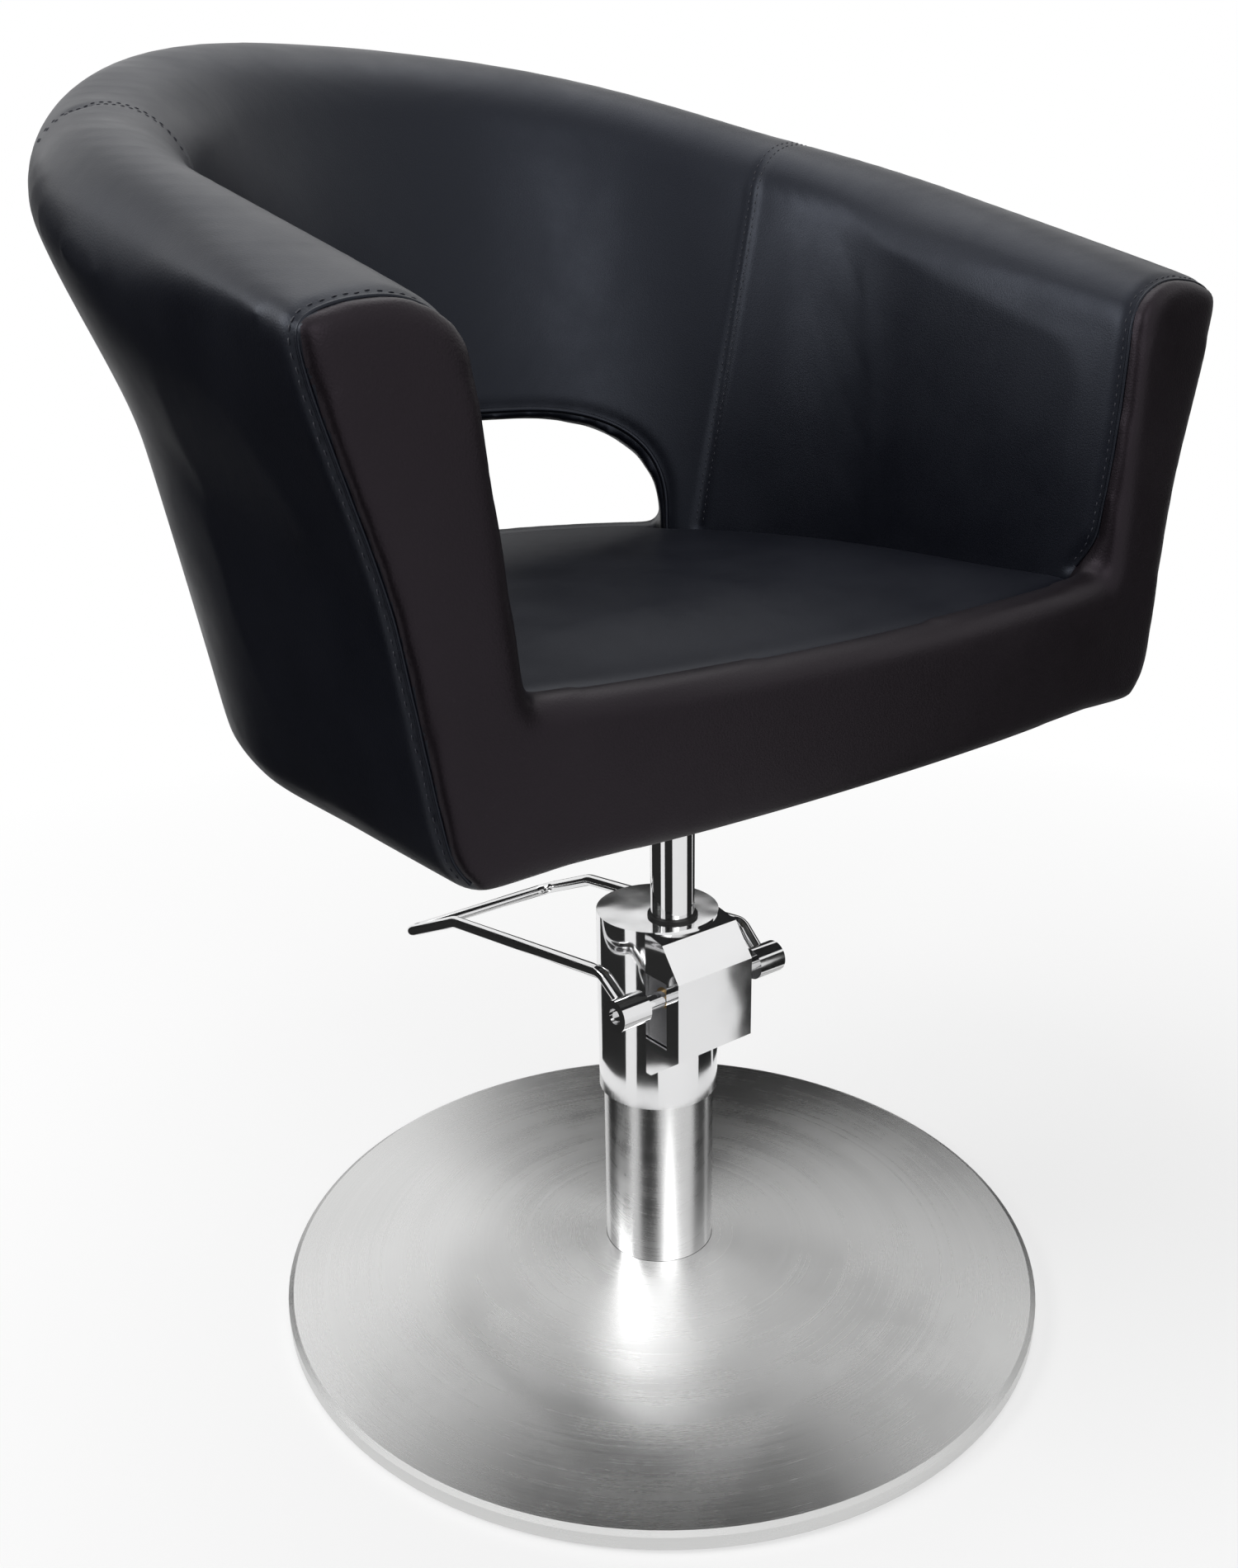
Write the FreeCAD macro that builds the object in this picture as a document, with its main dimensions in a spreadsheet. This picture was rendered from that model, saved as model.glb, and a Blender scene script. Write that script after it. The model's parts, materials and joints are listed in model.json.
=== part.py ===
import FreeCAD, Part
import math
import os
import Sketcher

# Hydraulic styling chair: an upholstered tub on a swivelling ram, a foot pump and a disc base.
# Millimetres, +Z up. Front of the chair is -Y. Origin: centre of the base, on the floor.

V = FreeCAD.Vector
doc = FreeCAD.newDocument("styling_chair")
sheet = doc.addObject("Spreadsheet::Sheet", "Sizes")

SIZES = {
    # base
    "base_radius": 300.0, "base_rim_height": 13.0, "cover_gauge": 1.5, "cover_rise": 13.0,
    "plate_radius": 292.0, "plate_thickness": 8.0, "floor_ring_height": 4.0, "floor_ring_width": 24.0,
    # column and its flange
    "column_radius": 43.0, "column_wall": 2.5, "flange_radius": 70.0, "flange_thickness": 8.0,
    "bolt_circle": 57.0, "base_bolt_radius": 5.0, "base_bolt_head": 8.5,
    # pump
    "ram_radius": 16.5, "ram_setback": -18.0, "ram_length": 320.0, "seat_height": 565.0,
    "barrel_bore": 19.0, "barrel_wall": 3.0, "barrel_length": 280.0,
    "head_radius": 46.5, "head_gauge": 2.5, "head_bottom": 168.0, "head_top": 316.0,
    "box_half_width": 36.0, "box_front": 67.0, "box_low": 224.0, "box_brow": 287.0,
    "fit": 0.05, "gap": 0.8,
    # foot lever
    "shaft_radius": 6.0, "shaft_height": 269.0, "hub_radius": 12.0,
    "hub_length": 25.0, "hub_end": 79.0, "rod_radius": 5.0, "lever_reach": 300.0, "crank_throw": 17.0,
    "crank_side": 26.0, "crank_width": 7.0, "plunger_radius": 4.0,
    # seat mounting
    "mount_plate_x": 250.0, "mount_plate_y": 200.0, "mount_gauge": 5.0, "socket_radius": 27.0,
    "socket_depth": 44.0, "mount_bolt_x": 100.0, "mount_bolt_y": 75.0, "mount_bolt_radius": 4.0,
    "board_thickness": 15.0, "cushion_thickness": 78.0,
    # tub
    "tub_half_width": 302.0, "tub_lean": 0.16, "tub_flare": 20.0, "tub_front": -197.0,
    "seat_half_width": 246.0, "inner_lean": 0.11, "arm_rise": 196.0, "rim_slope": 0.32, "rim_crest": 14.0,
    "shell_thickness": 12.0, "cover_foam": 10.0, "panel_foam": 10.0, "seam_setback": 162.0,
    "opening_angle": 40.8, "opening_rise": 95.0, "opening_shoulder": 80.0,
}
for row, (name, size) in enumerate(SIZES.items(), start=1):
    sheet.set(f"A{row}", name)
    sheet.set(f"B{row}", str(size))
    sheet.setAlias(f"B{row}", name)
doc.recompute()


def value(name):
    return float(sheet.get(name))


# heights that stack up from the floor and down from the seat, used by several pieces
derived = {
    "plate_top": "=floor_ring_height + plate_thickness",
    "flange_top": "=plate_top + flange_thickness",
    "board_top": "=seat_height - cushion_thickness",
    "board_bottom": "=board_top - board_thickness",
    "mount_bottom": "=board_bottom - mount_gauge",
    "socket_bottom": "=mount_bottom - socket_depth",
    "ram_top": "=mount_bottom - 2.5",
    "ram_foot": "=ram_top - ram_length",
    "barrel_outer": "=barrel_bore + barrel_wall",
    "barrel_top": "=flange_top + barrel_length",
    "column_top": "=head_bottom + 32",
    "column_bore": "=column_radius - column_wall",
    "head_bore": "=head_radius - head_gauge",
    "shaft_setback": "=ram_setback - barrel_outer - shaft_radius - 1",
    "rim_front": "=seat_height + arm_rise",
    "opening_top": "=seat_height + opening_rise",
    "board_radius": "=tub_half_width - cover_foam - 8",
}
for row, (name, rule) in enumerate(derived.items(), start=len(SIZES) + 2):
    sheet.set(f"A{row}", name)
    sheet.set(f"B{row}", rule)
    sheet.setAlias(f"B{row}", name)
doc.recompute()

nodes = []


def piece(obj, label):
    """Give a finished sub-part its node name."""
    obj.Label = label
    nodes.append(obj)
    return obj


def bind(obj, **rules):
    for prop, rule in rules.items():
        target = "Placement.Base." + prop[-1] if prop.startswith("at_") else prop
        obj.setExpression(target, rule.replace("$", "Sizes."))
    return obj


def cylinder(name, radius, height, z="0", x="0", y="0"):
    obj = doc.addObject("Part::Cylinder", name)
    return bind(obj, Radius=radius, Height=height, at_x=x, at_y=y, at_z=z)


def cross_cylinder(name, radius, length, x, y, z):
    """A cylinder along +X that starts at x."""
    obj = cylinder(name, radius, length, z, x, y)
    obj.Placement.Rotation = FreeCAD.Rotation(V(0, 1, 0), 90)
    return obj


def box(name, length, width, height, x, y, z):
    obj = doc.addObject("Part::Box", name)
    return bind(obj, Length=length, Width=width, Height=height, at_x=x, at_y=y, at_z=z)


def cut(name, base, tool):
    obj = doc.addObject("Part::Cut", name)
    obj.Base, obj.Tool = base, tool
    return obj


def fuse(name, *shapes):
    obj = doc.addObject("Part::MultiFuse", name)
    obj.Shapes = list(shapes)
    return obj


def feature(label, shape):
    obj = doc.addObject("Part::Feature", label)
    obj.Shape = shape
    return piece(obj, label)


def origin_plane(body, role):
    return [item for item in body.Origin.OriginFeatures if item.Role == role][0]


def sketch_on(body, name, role):
    sketch = body.newObject("Sketcher::SketchObject", name)
    sketch.AttachmentSupport = [(origin_plane(body, role), "")]
    sketch.MapMode = "FlatFace"
    return sketch


def turned(label, outline, y="0"):
    """Revolve an outline of (radius rule, height rule) points about a vertical axis."""
    body = doc.addObject("PartDesign::Body", label)
    sketch = sketch_on(body, label + "_profile", "XZ_Plane")
    count = len(outline)
    probe = [(size_of(r), size_of(z)) for r, z in outline]
    for i in range(count):
        a, b = probe[i], probe[(i + 1) % count]
        sketch.addGeometry(Part.LineSegment(V(a[0], a[1], 0), V(b[0], b[1], 0)), False)
    for i in range(count):
        sketch.addConstraint(Sketcher.Constraint("Coincident", i, 2, (i + 1) % count, 1))
    for i, (radius, height) in enumerate(outline):
        for kind, rule, number in (("DistanceX", radius, probe[i][0]), ("DistanceY", height, probe[i][1])):
            if abs(number) < 1e-9:
                axis = -2 if kind == "DistanceX" else -1
                sketch.addConstraint(Sketcher.Constraint("PointOnObject", i, 1, axis))
                continue
            index = sketch.addConstraint(Sketcher.Constraint(kind, -1, 1, i, 1, number))
            sketch.setExpression(f"Constraints[{index}]", rule.replace("$", "Sizes."))
    revolution = body.newObject("PartDesign::Revolution", label + "_turn")
    revolution.Profile = sketch
    revolution.ReferenceAxis = (sketch, ["V_Axis"])
    revolution.Angle = 360
    bind(body, at_y=y)
    return piece(body, label)


def size_of(rule):
    """The number that a rule written with $names stands for."""
    scratch = "Z1"
    sheet.set(scratch, "=" + rule.replace("$", ""))
    sheet.recompute()
    number = float(sheet.get(scratch))
    sheet.clear(scratch)
    return number


def ring(label, inner, outer, low, high, y="0"):
    return turned(label, [(inner, low), (outer, low), (outer, high), (inner, high)], y)


RAM_Y = "$ram_setback"


# ---------------------------------------------------------------- base

def make_base():
    ring("floor_ring", "$plate_radius - $floor_ring_width", "$plate_radius", "0", "$floor_ring_height")
    plate = cylinder("base_disc", "$plate_radius", "$plate_thickness", "$floor_ring_height")
    holes = bolt_set("base_bolt_holes", "$base_bolt_radius", "$plate_thickness + 2", "$floor_ring_height - 1")
    piece(cut("base_plate", plate, holes), "base_plate")
    rim, gauge = "$base_rim_height", "$cover_gauge"
    eye = "$column_radius + 0.3"
    piece_outline = [
        ("$base_radius - " + gauge, "3"), ("$base_radius", "3"), ("$base_radius", rim),
        ("$base_radius - 4", rim + " + 2"), (eye, rim + " + 2 + $cover_rise"),
        (eye, rim + " + 2 + $cover_rise - " + gauge), ("$base_radius - 4.5", rim + " + 2 - " + gauge),
        ("$base_radius - " + gauge, rim + " - 0.8"),
    ]
    turned("base_cover", piece_outline)
    flange = cylinder("flange_disc", "$flange_radius", "$flange_thickness", "$plate_top")
    bore = cylinder("flange_bore", "$column_radius + $fit", "$flange_thickness + 2", "$plate_top - 1")
    holes = bolt_set("flange_bolt_holes", "$base_bolt_radius + 0.3", "$flange_thickness + 2", "$plate_top - 1")
    piece(cut("column_flange", flange, fuse("flange_cuts", bore, holes)), "column_flange")
    shanks = bolt_set("base_bolt_shanks", "$base_bolt_radius - $fit", "$flange_top - $floor_ring_height - 1",
                      "$floor_ring_height + 1")
    heads = bolt_set("base_bolt_heads", "$base_bolt_head", "4.5", "$flange_top")
    piece(fuse("flange_bolts", shanks, heads), "flange_bolts")


def bolt_set(name, radius, height, z):
    """Four upright cylinders on the bolt circle, at 45 degrees to the axes."""
    posts = []
    for i in range(4):
        angle = 45 + 90 * i
        posts.append(cylinder(f"{name}_{i + 1}", radius, height, z,
                              f"$bolt_circle * cos({angle} deg)", f"$bolt_circle * sin({angle} deg)"))
    return fuse(name, *posts)


# ---------------------------------------------------------------- pump

def make_pump():
    ring("column_tube", "$column_bore", "$column_radius", "$plate_top", "$column_top")
    foot = cylinder("foot_disc", "$column_bore - $fit", "$flange_thickness - 1", "$plate_top + 0.5")
    plug = cylinder("foot_plug", "$barrel_bore - $fit", "12", "$plate_top + 0.5 + $flange_thickness - 1",
                    y=RAM_Y)
    piece(fuse("barrel_foot", foot, plug), "barrel_foot")
    ring("pump_cylinder", "$barrel_bore", "$barrel_outer", "$flange_top", "$barrel_top", RAM_Y)
    turned("gland_nut", [
        ("$ram_radius + $fit", "$barrel_top - 14"), ("$barrel_bore - $fit", "$barrel_top - 14"),
        ("$barrel_bore - $fit", "$barrel_top"), ("$barrel_outer + 2", "$barrel_top"),
        ("$barrel_outer + 2", "$barrel_top + 6"), ("$ram_radius + $fit", "$barrel_top + 6")], RAM_Y)
    ring("ram_wiper", "$ram_radius + $fit", "$ram_radius + 2.4", "$barrel_top + 6", "$head_top + 2", RAM_Y)
    make_block()
    make_head_cover()
    for_bush = [cross_cylinder("bush_blank_" + str(i), "$shaft_radius + 2", "3", x, "$shaft_setback",
                               "$shaft_height") for i, x in enumerate(("-33.3", "30.3"))]
    bore = cross_cylinder("bush_bore", "$shaft_radius + $fit", "80", "-40", "$shaft_setback", "$shaft_height")
    piece(cut("shaft_bushes", fuse("bush_blanks", *for_bush), bore), "shaft_bushes")


def make_block():
    """The pump casting that carries the barrel, the shaft and the plunger."""
    low = "$column_top"
    spigot = cylinder("block_spigot", "$column_bore - $fit", "10.5", low + " - 10")
    drum = cylinder("block_drum", "$head_bore - 0.5", "$barrel_top - " + low, low)
    cheek = box("block_cheek", "66.6", "$box_front - 25", "$box_brow - $box_low - 10", "-33.3",
                "-$box_front + 5", "$box_low + 6")
    body = fuse("block_body", spigot, drum, cheek)
    bore = cylinder("block_bore", "$barrel_outer + $fit", "200", "$column_top - 20", y=RAM_Y)
    shaft = cross_cylinder("block_shaft_bore", "$shaft_radius + 0.3", "100", "-50", "$shaft_setback",
                           "$shaft_height")
    bushes = [cross_cylinder("block_bush_" + str(i), "$shaft_radius + 2 + $fit", "5", x, "$shaft_setback",
                             "$shaft_height") for i, x in enumerate(("-35", "30.2"))]
    sweep_room = "$shaft_radius + 6"
    pocket = box("crank_pocket", "$crank_width + 1", f"$crank_throw + {sweep_room} + 7", "60",
                 "$crank_side - ($crank_width + 1) / 2", f"$shaft_setback - ({sweep_room})",
                 "$shaft_height - 17")
    plunger_y = "$shaft_setback + $crank_throw"
    guide = cylinder("plunger_bore", "$plunger_radius + $fit", "60", "$shaft_height - 60", "$crank_side",
                     plunger_y)
    well = cylinder("spring_well", "$plunger_radius + 1.9", "40", "$shaft_height - 31", "$crank_side",
                    plunger_y)
    tools = fuse("block_cuts", bore, shaft, pocket, guide, well, *bushes)
    piece(cut("pump_block", body, tools), "pump_block")


def head_solid(name, skin):
    """The outer form of the pump head, or its inner form when skin is a wall thickness."""
    drum = cylinder(name + "_drum", "$head_radius - " + skin, f"$head_top - $head_bottom - {skin} + 1",
                    "$head_bottom - 1")
    front, half = size_of("$box_front - " + skin), "$box_half_width - " + skin
    low, brow = size_of("$box_low + " + skin), size_of("$box_brow - 0.5 * " + skin)
    roof, top = size_of("$head_top - 4 - " + skin), size_of("$head_top - " + skin)
    side = [(-20, low - 24), (-35, low - 24), (-front, low), (-front, brow), (-front + 18, roof),
            (-30, top), (-20, top)]
    profile = Part.makePolygon([V(0, y, z) for y, z in side + side[:1]])
    width = size_of(half)
    nose = doc.addObject("Part::Feature", name + "_nose")
    nose.Shape = Part.Face(profile).extrude(V(2 * width, 0, 0))
    nose.Placement.Base = V(-width, 0, 0)
    return fuse(name, drum, nose)


def make_head_cover():
    outer = head_solid("head_outer", "0")
    inner = head_solid("head_inner", "$head_gauge")
    skirt = cylinder("head_trim", "$head_radius + 5", "1", "$head_bottom - 1")
    ram_hole = cylinder("head_ram_hole", "$ram_radius + 2.6", "40", "$head_top - 20", y=RAM_Y)
    slot = box("head_side_slot", "200", "2 * $shaft_radius + 12", "54", "-100",
               "$shaft_setback - $shaft_radius - 0.5", "$shaft_height - 40")
    hollow = fuse("head_cuts", inner, skirt, ram_hole, slot)
    piece(cut("head_cover", outer, hollow), "head_cover")


def make_lift():
    ring("ram", "6", "$ram_radius", "$ram_foot", "$ram_top", RAM_Y)
    piston_high = 14
    turned("ram_piston", [
        ("0", f"$ram_foot - {piston_high}"), ("$barrel_bore - 0.1", f"$ram_foot - {piston_high}"),
        ("$barrel_bore - 0.1", "$ram_foot - 10"), ("$barrel_bore - 3", "$ram_foot - 10"),
        ("$barrel_bore - 3", "$ram_foot - 5"), ("$barrel_bore - 0.1", "$ram_foot - 5"),
        ("$barrel_bore - 0.1", "$ram_foot"), ("5.95", "$ram_foot"), ("5.95", "$ram_foot + 20"),
        ("0", "$ram_foot + 20")], RAM_Y)
    ring("piston_seal", "$barrel_bore - 2.95", "$barrel_bore - 0.02", "$ram_foot - 9.9", "$ram_foot - 5.1",
         RAM_Y)
    ring("thrust_washer", "6", "$ram_radius - 0.5", "$ram_top", "$ram_top + 2.4", RAM_Y)


# ---------------------------------------------------------------- foot lever

def rounded_path(points, radii):
    """Straight runs joined by tangent arcs."""
    edges, start = [], points[0]
    for i in range(1, len(points) - 1):
        corner = points[i]
        back = (points[i - 1] - corner).normalize()
        ahead = (points[i + 1] - corner).normalize()
        half = back.getAngle(ahead) / 2
        run = radii[i - 1] / math.tan(half)
        first, last = corner + back * run, corner + ahead * run
        bisector = (back + ahead).normalize()
        centre = corner + bisector * (radii[i - 1] / math.sin(half))
        middle = centre - bisector * radii[i - 1]
        edges += [Part.LineSegment(start, first).toShape(), Part.Arc(first, middle, last).toShape()]
        start = last
    edges.append(Part.LineSegment(start, points[-1]).toShape())
    return Part.Wire(edges)


def round_bar(path, radius):
    start = path.Edges[0].valueAt(path.Edges[0].FirstParameter)
    along = path.Edges[0].tangentAt(path.Edges[0].FirstParameter)
    ring_edge = Part.makeCircle(radius, start, along)
    return path.makePipeShell([Part.Wire(ring_edge)], True, False)


def lever_points():
    """Half of the foot loop, from the hub to the middle of the pedal bar."""
    pivot = V(0, value("shaft_setback"), value("shaft_height"))
    reach = value("lever_reach")
    middle = value("hub_end") - value("hub_length") / 2
    hub = pivot + V(middle, 0, 0)
    knee = pivot + V(middle + 2, 0.09 * reach, 0.07 * reach)
    heel = pivot + V(middle + 4, 0.757 * reach, -0.023 * reach)
    toe = pivot + V(middle + 10, reach, -0.133 * reach)
    hub = hub + (knee - hub).normalize() * (value("shaft_radius") + 2)
    return [hub, knee, heel, toe]


def make_lever():
    shaft_y, shaft_z = "$shaft_setback", "$shaft_height"
    piece(cross_cylinder("lever_shaft", "$shaft_radius", "2 * ($hub_end - 5)", "-$hub_end + 5", shaft_y,
                         shaft_z), "lever_shaft")
    half = lever_points()
    other = [V(-p.x, p.y, p.z) for p in reversed(half)]
    rod = value("rod_radius")
    path = rounded_path(half + other, [2.6 * rod, 5 * rod, 2.8 * rod, 2.8 * rod, 5 * rod, 2.6 * rod])
    feature("foot_lever", round_bar(path, rod))
    for side, name in ((1, "right"), (-1, "left")):
        start = "$hub_end - $hub_length" if side > 0 else "-$hub_end"
        blank = cross_cylinder("hub_blank_" + name, "$hub_radius", "$hub_length", start, shaft_y, shaft_z)
        bore = cross_cylinder("hub_bore_" + name, "$shaft_radius + 0.02", "$hub_length + 2", start + " - 1",
                              shaft_y, shaft_z)
        socket = doc.addObject("Part::Feature", "hub_socket_" + name)
        mirrored = [V(side * p.x, p.y, p.z) for p in half]
        run = (mirrored[1] - mirrored[0]).normalize()
        socket.Shape = Part.makeCylinder(rod + 0.05, 30, mirrored[0], run)
        tap = cylinder("hub_tap_" + name, "2.5", "20", shaft_z + " - 22",
                       f"{side} * ($hub_end - $hub_length / 2)", shaft_y)
        piece(cut("lever_hub_" + name, blank, fuse("hub_cuts_" + name, bore, socket, tap)),
              "lever_hub_" + name)
    screws = [cylinder("screw_" + name, "2.45", "$hub_radius - $shaft_radius", shaft_z + " - $hub_radius - 0.5",
                       f"{side} * ($hub_end - $hub_length / 2)", shaft_y)
              for side, name in ((1, "right"), (-1, "left"))]
    piece(fuse("hub_set_screws", *screws), "hub_set_screws")
    make_crank()


def make_crank():
    shaft_y, shaft_z = "$shaft_setback", "$shaft_height"
    start = "$crank_side - $crank_width / 2"
    boss = cross_cylinder("crank_boss", "$shaft_radius + 3.5", "$crank_width", start, shaft_y, shaft_z)
    nose = cross_cylinder("crank_nose", "5", "$crank_width", start, shaft_y + " + $crank_throw", shaft_z)
    web = box("crank_web", "$crank_width", "$crank_throw", "8", start, shaft_y, shaft_z + " - 4")
    bore = cross_cylinder("crank_bore", "$shaft_radius + 0.02", "$crank_width + 2", start + " - 1", shaft_y,
                          shaft_z)
    piece(cut("shaft_crank", fuse("crank_body", boss, nose, web), bore), "shaft_crank")
    head_top = shaft_z + " - 5.4"
    y = "$shaft_setback + $crank_throw"
    rod = cylinder("plunger_rod", "$plunger_radius", "42", head_top + " - 45", "$crank_side", y)
    head = cylinder("plunger_head", "$plunger_radius + 1.5", "3", head_top + " - 3", "$crank_side", y)
    piece(fuse("plunger", rod, head), "plunger")
    low, high = value("shaft_height") - 30.4, value("shaft_height") - 5.4 - 3.6
    wire_radius, mean = 0.7, value("plunger_radius") + 0.85
    helix = Part.makeHelix(3.4, high - low - 2 * wire_radius, mean)
    wire = Part.Wire(helix.Edges)
    round_wire = Part.Wire(Part.makeCircle(wire_radius, V(mean, 0, 0), V(0, 1, 0)))
    coil = feature("plunger_spring", wire.makePipeShell([round_wire], True, True))
    coil.Placement.Base = V(value("crank_side"), value("shaft_setback") + value("crank_throw"),
                            low + wire_radius)


# ---------------------------------------------------------------- seat mounting

def make_mounting():
    ring("socket_bush", "$ram_radius + $fit", "$ram_radius + 3.5", "$socket_bottom", "$ram_top - 1", RAM_Y)
    ring("seat_socket", "$ram_radius + 3.52", "$socket_radius", "$socket_bottom - 2", "$mount_bottom", RAM_Y)
    corners = [(sx, sy) for sx in (-1, 1) for sy in (-1, 1)]

    def corner_posts(name, radius, height, z):
        return fuse(name, *[cylinder(f"{name}_{i + 1}", radius, height, z, f"{sx} * $mount_bolt_x",
                                     f"$ram_setback + {sy} * $mount_bolt_y")
                            for i, (sx, sy) in enumerate(corners)])

    blank = box("plate_blank", "$mount_plate_x", "$mount_plate_y", "$mount_gauge", "-$mount_plate_x / 2",
                "$ram_setback - $mount_plate_y / 2", "$mount_bottom")
    holes = corner_posts("plate_holes", "$mount_bolt_radius + 0.4", "20", "$mount_bottom - 5")
    piece(cut("seat_plate", blank, holes), "seat_plate")
    washers = corner_posts("washer_blanks", "$mount_bolt_radius + 5", "1.6", "$mount_bottom - 1.6")
    washer_holes = corner_posts("washer_holes", "$mount_bolt_radius + 0.3", "8", "$mount_bottom - 5")
    piece(cut("plate_washers", washers, washer_holes), "plate_washers")
    shanks = corner_posts("bolt_shanks", "$mount_bolt_radius", "$board_thickness + $mount_gauge + 1.2",
                          "$mount_bottom - 1.6")
    heads = corner_posts("bolt_heads", "$mount_bolt_radius + 2.6", "5", "$mount_bottom - 6.6")
    piece(fuse("plate_bolts", shanks, heads), "plate_bolts")
    barrels = corner_posts("tee_barrels", "$mount_bolt_radius + 1.4", "9", "$board_top - 9")
    flanges = corner_posts("tee_flanges", "$mount_bolt_radius + 7", "1.4", "$board_top - 1.4")
    tee_bores = corner_posts("tee_bores", "$mount_bolt_radius + 0.03", "20", "$board_top - 12")
    piece(cut("tee_nuts", fuse("tee_blanks", barrels, flanges), tee_bores), "tee_nuts")
    board = d_plate("board_blank", value("board_radius"), value("tub_front") + 1.5,
                    value("board_bottom"), value("board_thickness"), bevel=10)
    wide = corner_posts("board_counterbores", "$mount_bolt_radius + 7.05", "3", "$board_top - 1.4")
    deep = corner_posts("board_holes", "$mount_bolt_radius + 1.5", "40", "$board_bottom - 10")
    piece(cut("seat_board", board, fuse("board_cuts", wide, deep)), "seat_board")
    cloth = d_plate("cloth_blank", value("board_radius") - 11, value("tub_front") + 12,
                    value("board_bottom") - 1.3, 1.2)
    window = box("cloth_window", "$mount_plate_x + 4", "$mount_plate_y + 4", "10",
                 "-$mount_plate_x / 2 - 2", "$ram_setback - $mount_plate_y / 2 - 2", "$board_bottom - 5")
    piece(cut("bottom_cover", cloth, window), "bottom_cover")


def d_face(radius, front, z, centre=0.0):
    """A face with a straight front, straight sides and a half-round back."""
    side = [V(-radius, centre, z), V(-radius, front, z), V(radius, front, z), V(radius, centre, z)]
    arc = Part.Arc(side[3], V(0, centre + radius, z), side[0]).toShape()
    lines = [Part.LineSegment(side[i], side[i + 1]).toShape() for i in range(3)]
    return Part.Face(Part.Wire(lines + [arc]))


def d_plate(name, radius, front, z, thickness, bevel=0):
    """A D-shaped plate, with its lower edge bevelled where a bevel is given."""
    obj = doc.addObject("Part::Feature", name)
    slab = d_face(radius, front, z, back_centre(z)).extrude(V(0, 0, thickness))
    if bevel:
        slab = slab.makeChamfer(bevel, [line for line in slab.Edges if line.BoundBox.ZMax < z + 0.1])
    obj.Shape = slab
    return obj


# ---------------------------------------------------------------- tub
# The tub wall is a U in plan: straight arms and a half-round back whose centre moves back with height.

def smooth(x):
    x = min(max(x, 0.0), 1.0)
    return x * x * (3 - 2 * x)


def back_centre(z):
    rise = max(z - (value("seat_height") - 65), 0.0)
    return -7 + 35 * (rise / 330) ** 1.5


def outer_width(z, station=0):
    """Half-width of the outer face; the flare starts higher where the rim is higher."""
    seat = value("seat_height")
    width = value("tub_half_width") + value("tub_lean") * (z - seat + 75)
    start = seat + 35 + 0.7 * (ridge_height(station) - value("rim_front"))
    width += (value("tub_flare") - 4 + 4 * back_share(station)) * smooth((z - start) / 145)
    tuck = max(seat - 68 - z, 0.0) / 30
    return width - 16 * tuck * tuck


def inner_width(z, station=0):
    return value("seat_half_width") + value("inner_lean") * (z - value("seat_height"))


def front_line(z):
    return value("tub_front") + 0.037 * (z - value("seat_height") + 105)


def rim_height(y):
    """Height of the top of the tub at a distance back from the front."""
    crest = value("rim_crest") * smooth((y - value("seam_setback")) / 185)
    return value("rim_front") + value("rim_slope") * (y - value("tub_front")) + crest


def station_point(station, width, z):
    """A point on the U: station 0..1 along the near arm, 1..3 round the back, 3..4 along the far arm."""
    centre, front = back_centre(z), front_line(z)
    if station <= 1:
        return V(-width, front + station * (centre - front), z)
    if station >= 3:
        return V(width, front + (4 - station) * (centre - front), z)
    angle = math.radians(90 * (station - 1))
    return V(-width * math.cos(angle), centre + width * math.sin(angle), z)


STATIONS = [0, 0.35, 0.7, 1] + [1 + i / 6 for i in range(1, 12)] + [3, 3.3, 3.65, 4]


def ridge_height(station):
    """Height of the top of the roll at a station."""
    middle = (value("tub_half_width") + value("seat_half_width")) / 2 + 45
    return rim_height(station_point(station, middle, value("rim_front") + 60).y)


def ridge_width(station):
    foot = roll_foot(station)
    return (outer_width(foot, station) + inner_width(foot)) / 2 + 4


def back_share(station):
    """0 at the arm fronts, 1 from the middle of the arms round the back."""
    return smooth(min(station, 4 - station) / 1.1)


def roll_foot(station):
    return ridge_height(station) - 46 - 30 * back_share(station)


def curve(points):
    line = Part.BSplineCurve()
    line.interpolate(points)
    return line.toShape()


def wall_section(station, low, high, outer, inner):
    """A closed wire across the tub wall, between two heights and two width functions."""
    steps = (0, 0.04, 0.09, 0.16, 0.3, 0.48, 0.65, 0.82, 1)
    heights = [low + (high - low) * step for step in steps]
    out = [station_point(station, outer(z, station), z) for z in heights]
    ins = [station_point(station, inner(z, station), z) for z in reversed(heights)]
    return Part.Wire([curve(out), Part.LineSegment(out[-1], ins[0]).toShape(), curve(ins),
                      Part.LineSegment(ins[-1], out[0]).toShape()])


def wall(low, outer, inner):
    sections = [wall_section(at, low, roll_foot(at) - value("gap"), outer, inner) for at in STATIONS]
    return Part.makeLoft(sections, True, False)


def roll_section(station):
    top_width, top = ridge_width(station), ridge_height(station)
    foot, share = roll_foot(station), back_share(station)
    out_drop, in_drop = 16 + 42 * share, 36 + 22 * share
    outer = [station_point(station, outer_width(foot, station), foot)]
    for i in range(5):
        turn = math.radians(90 * i / 4)
        z = top - out_drop + out_drop * math.sin(turn)
        edge = outer_width(top - out_drop, station)
        outer.append(station_point(station, top_width + (edge - top_width) * math.cos(turn), z))
    inner = []
    for i in range(1, 5):
        turn = math.radians(90 - 90 * i / 4)
        z = top - in_drop + in_drop * math.sin(turn)
        edge = inner_width(top - in_drop)
        inner.append(station_point(station, top_width + (edge - top_width) * math.cos(turn), z))
    inner.append(station_point(station, inner_width(foot), foot))
    line = curve(outer + inner)
    return Part.Wire([line, Part.LineSegment(inner[-1], outer[0]).toShape()])


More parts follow.
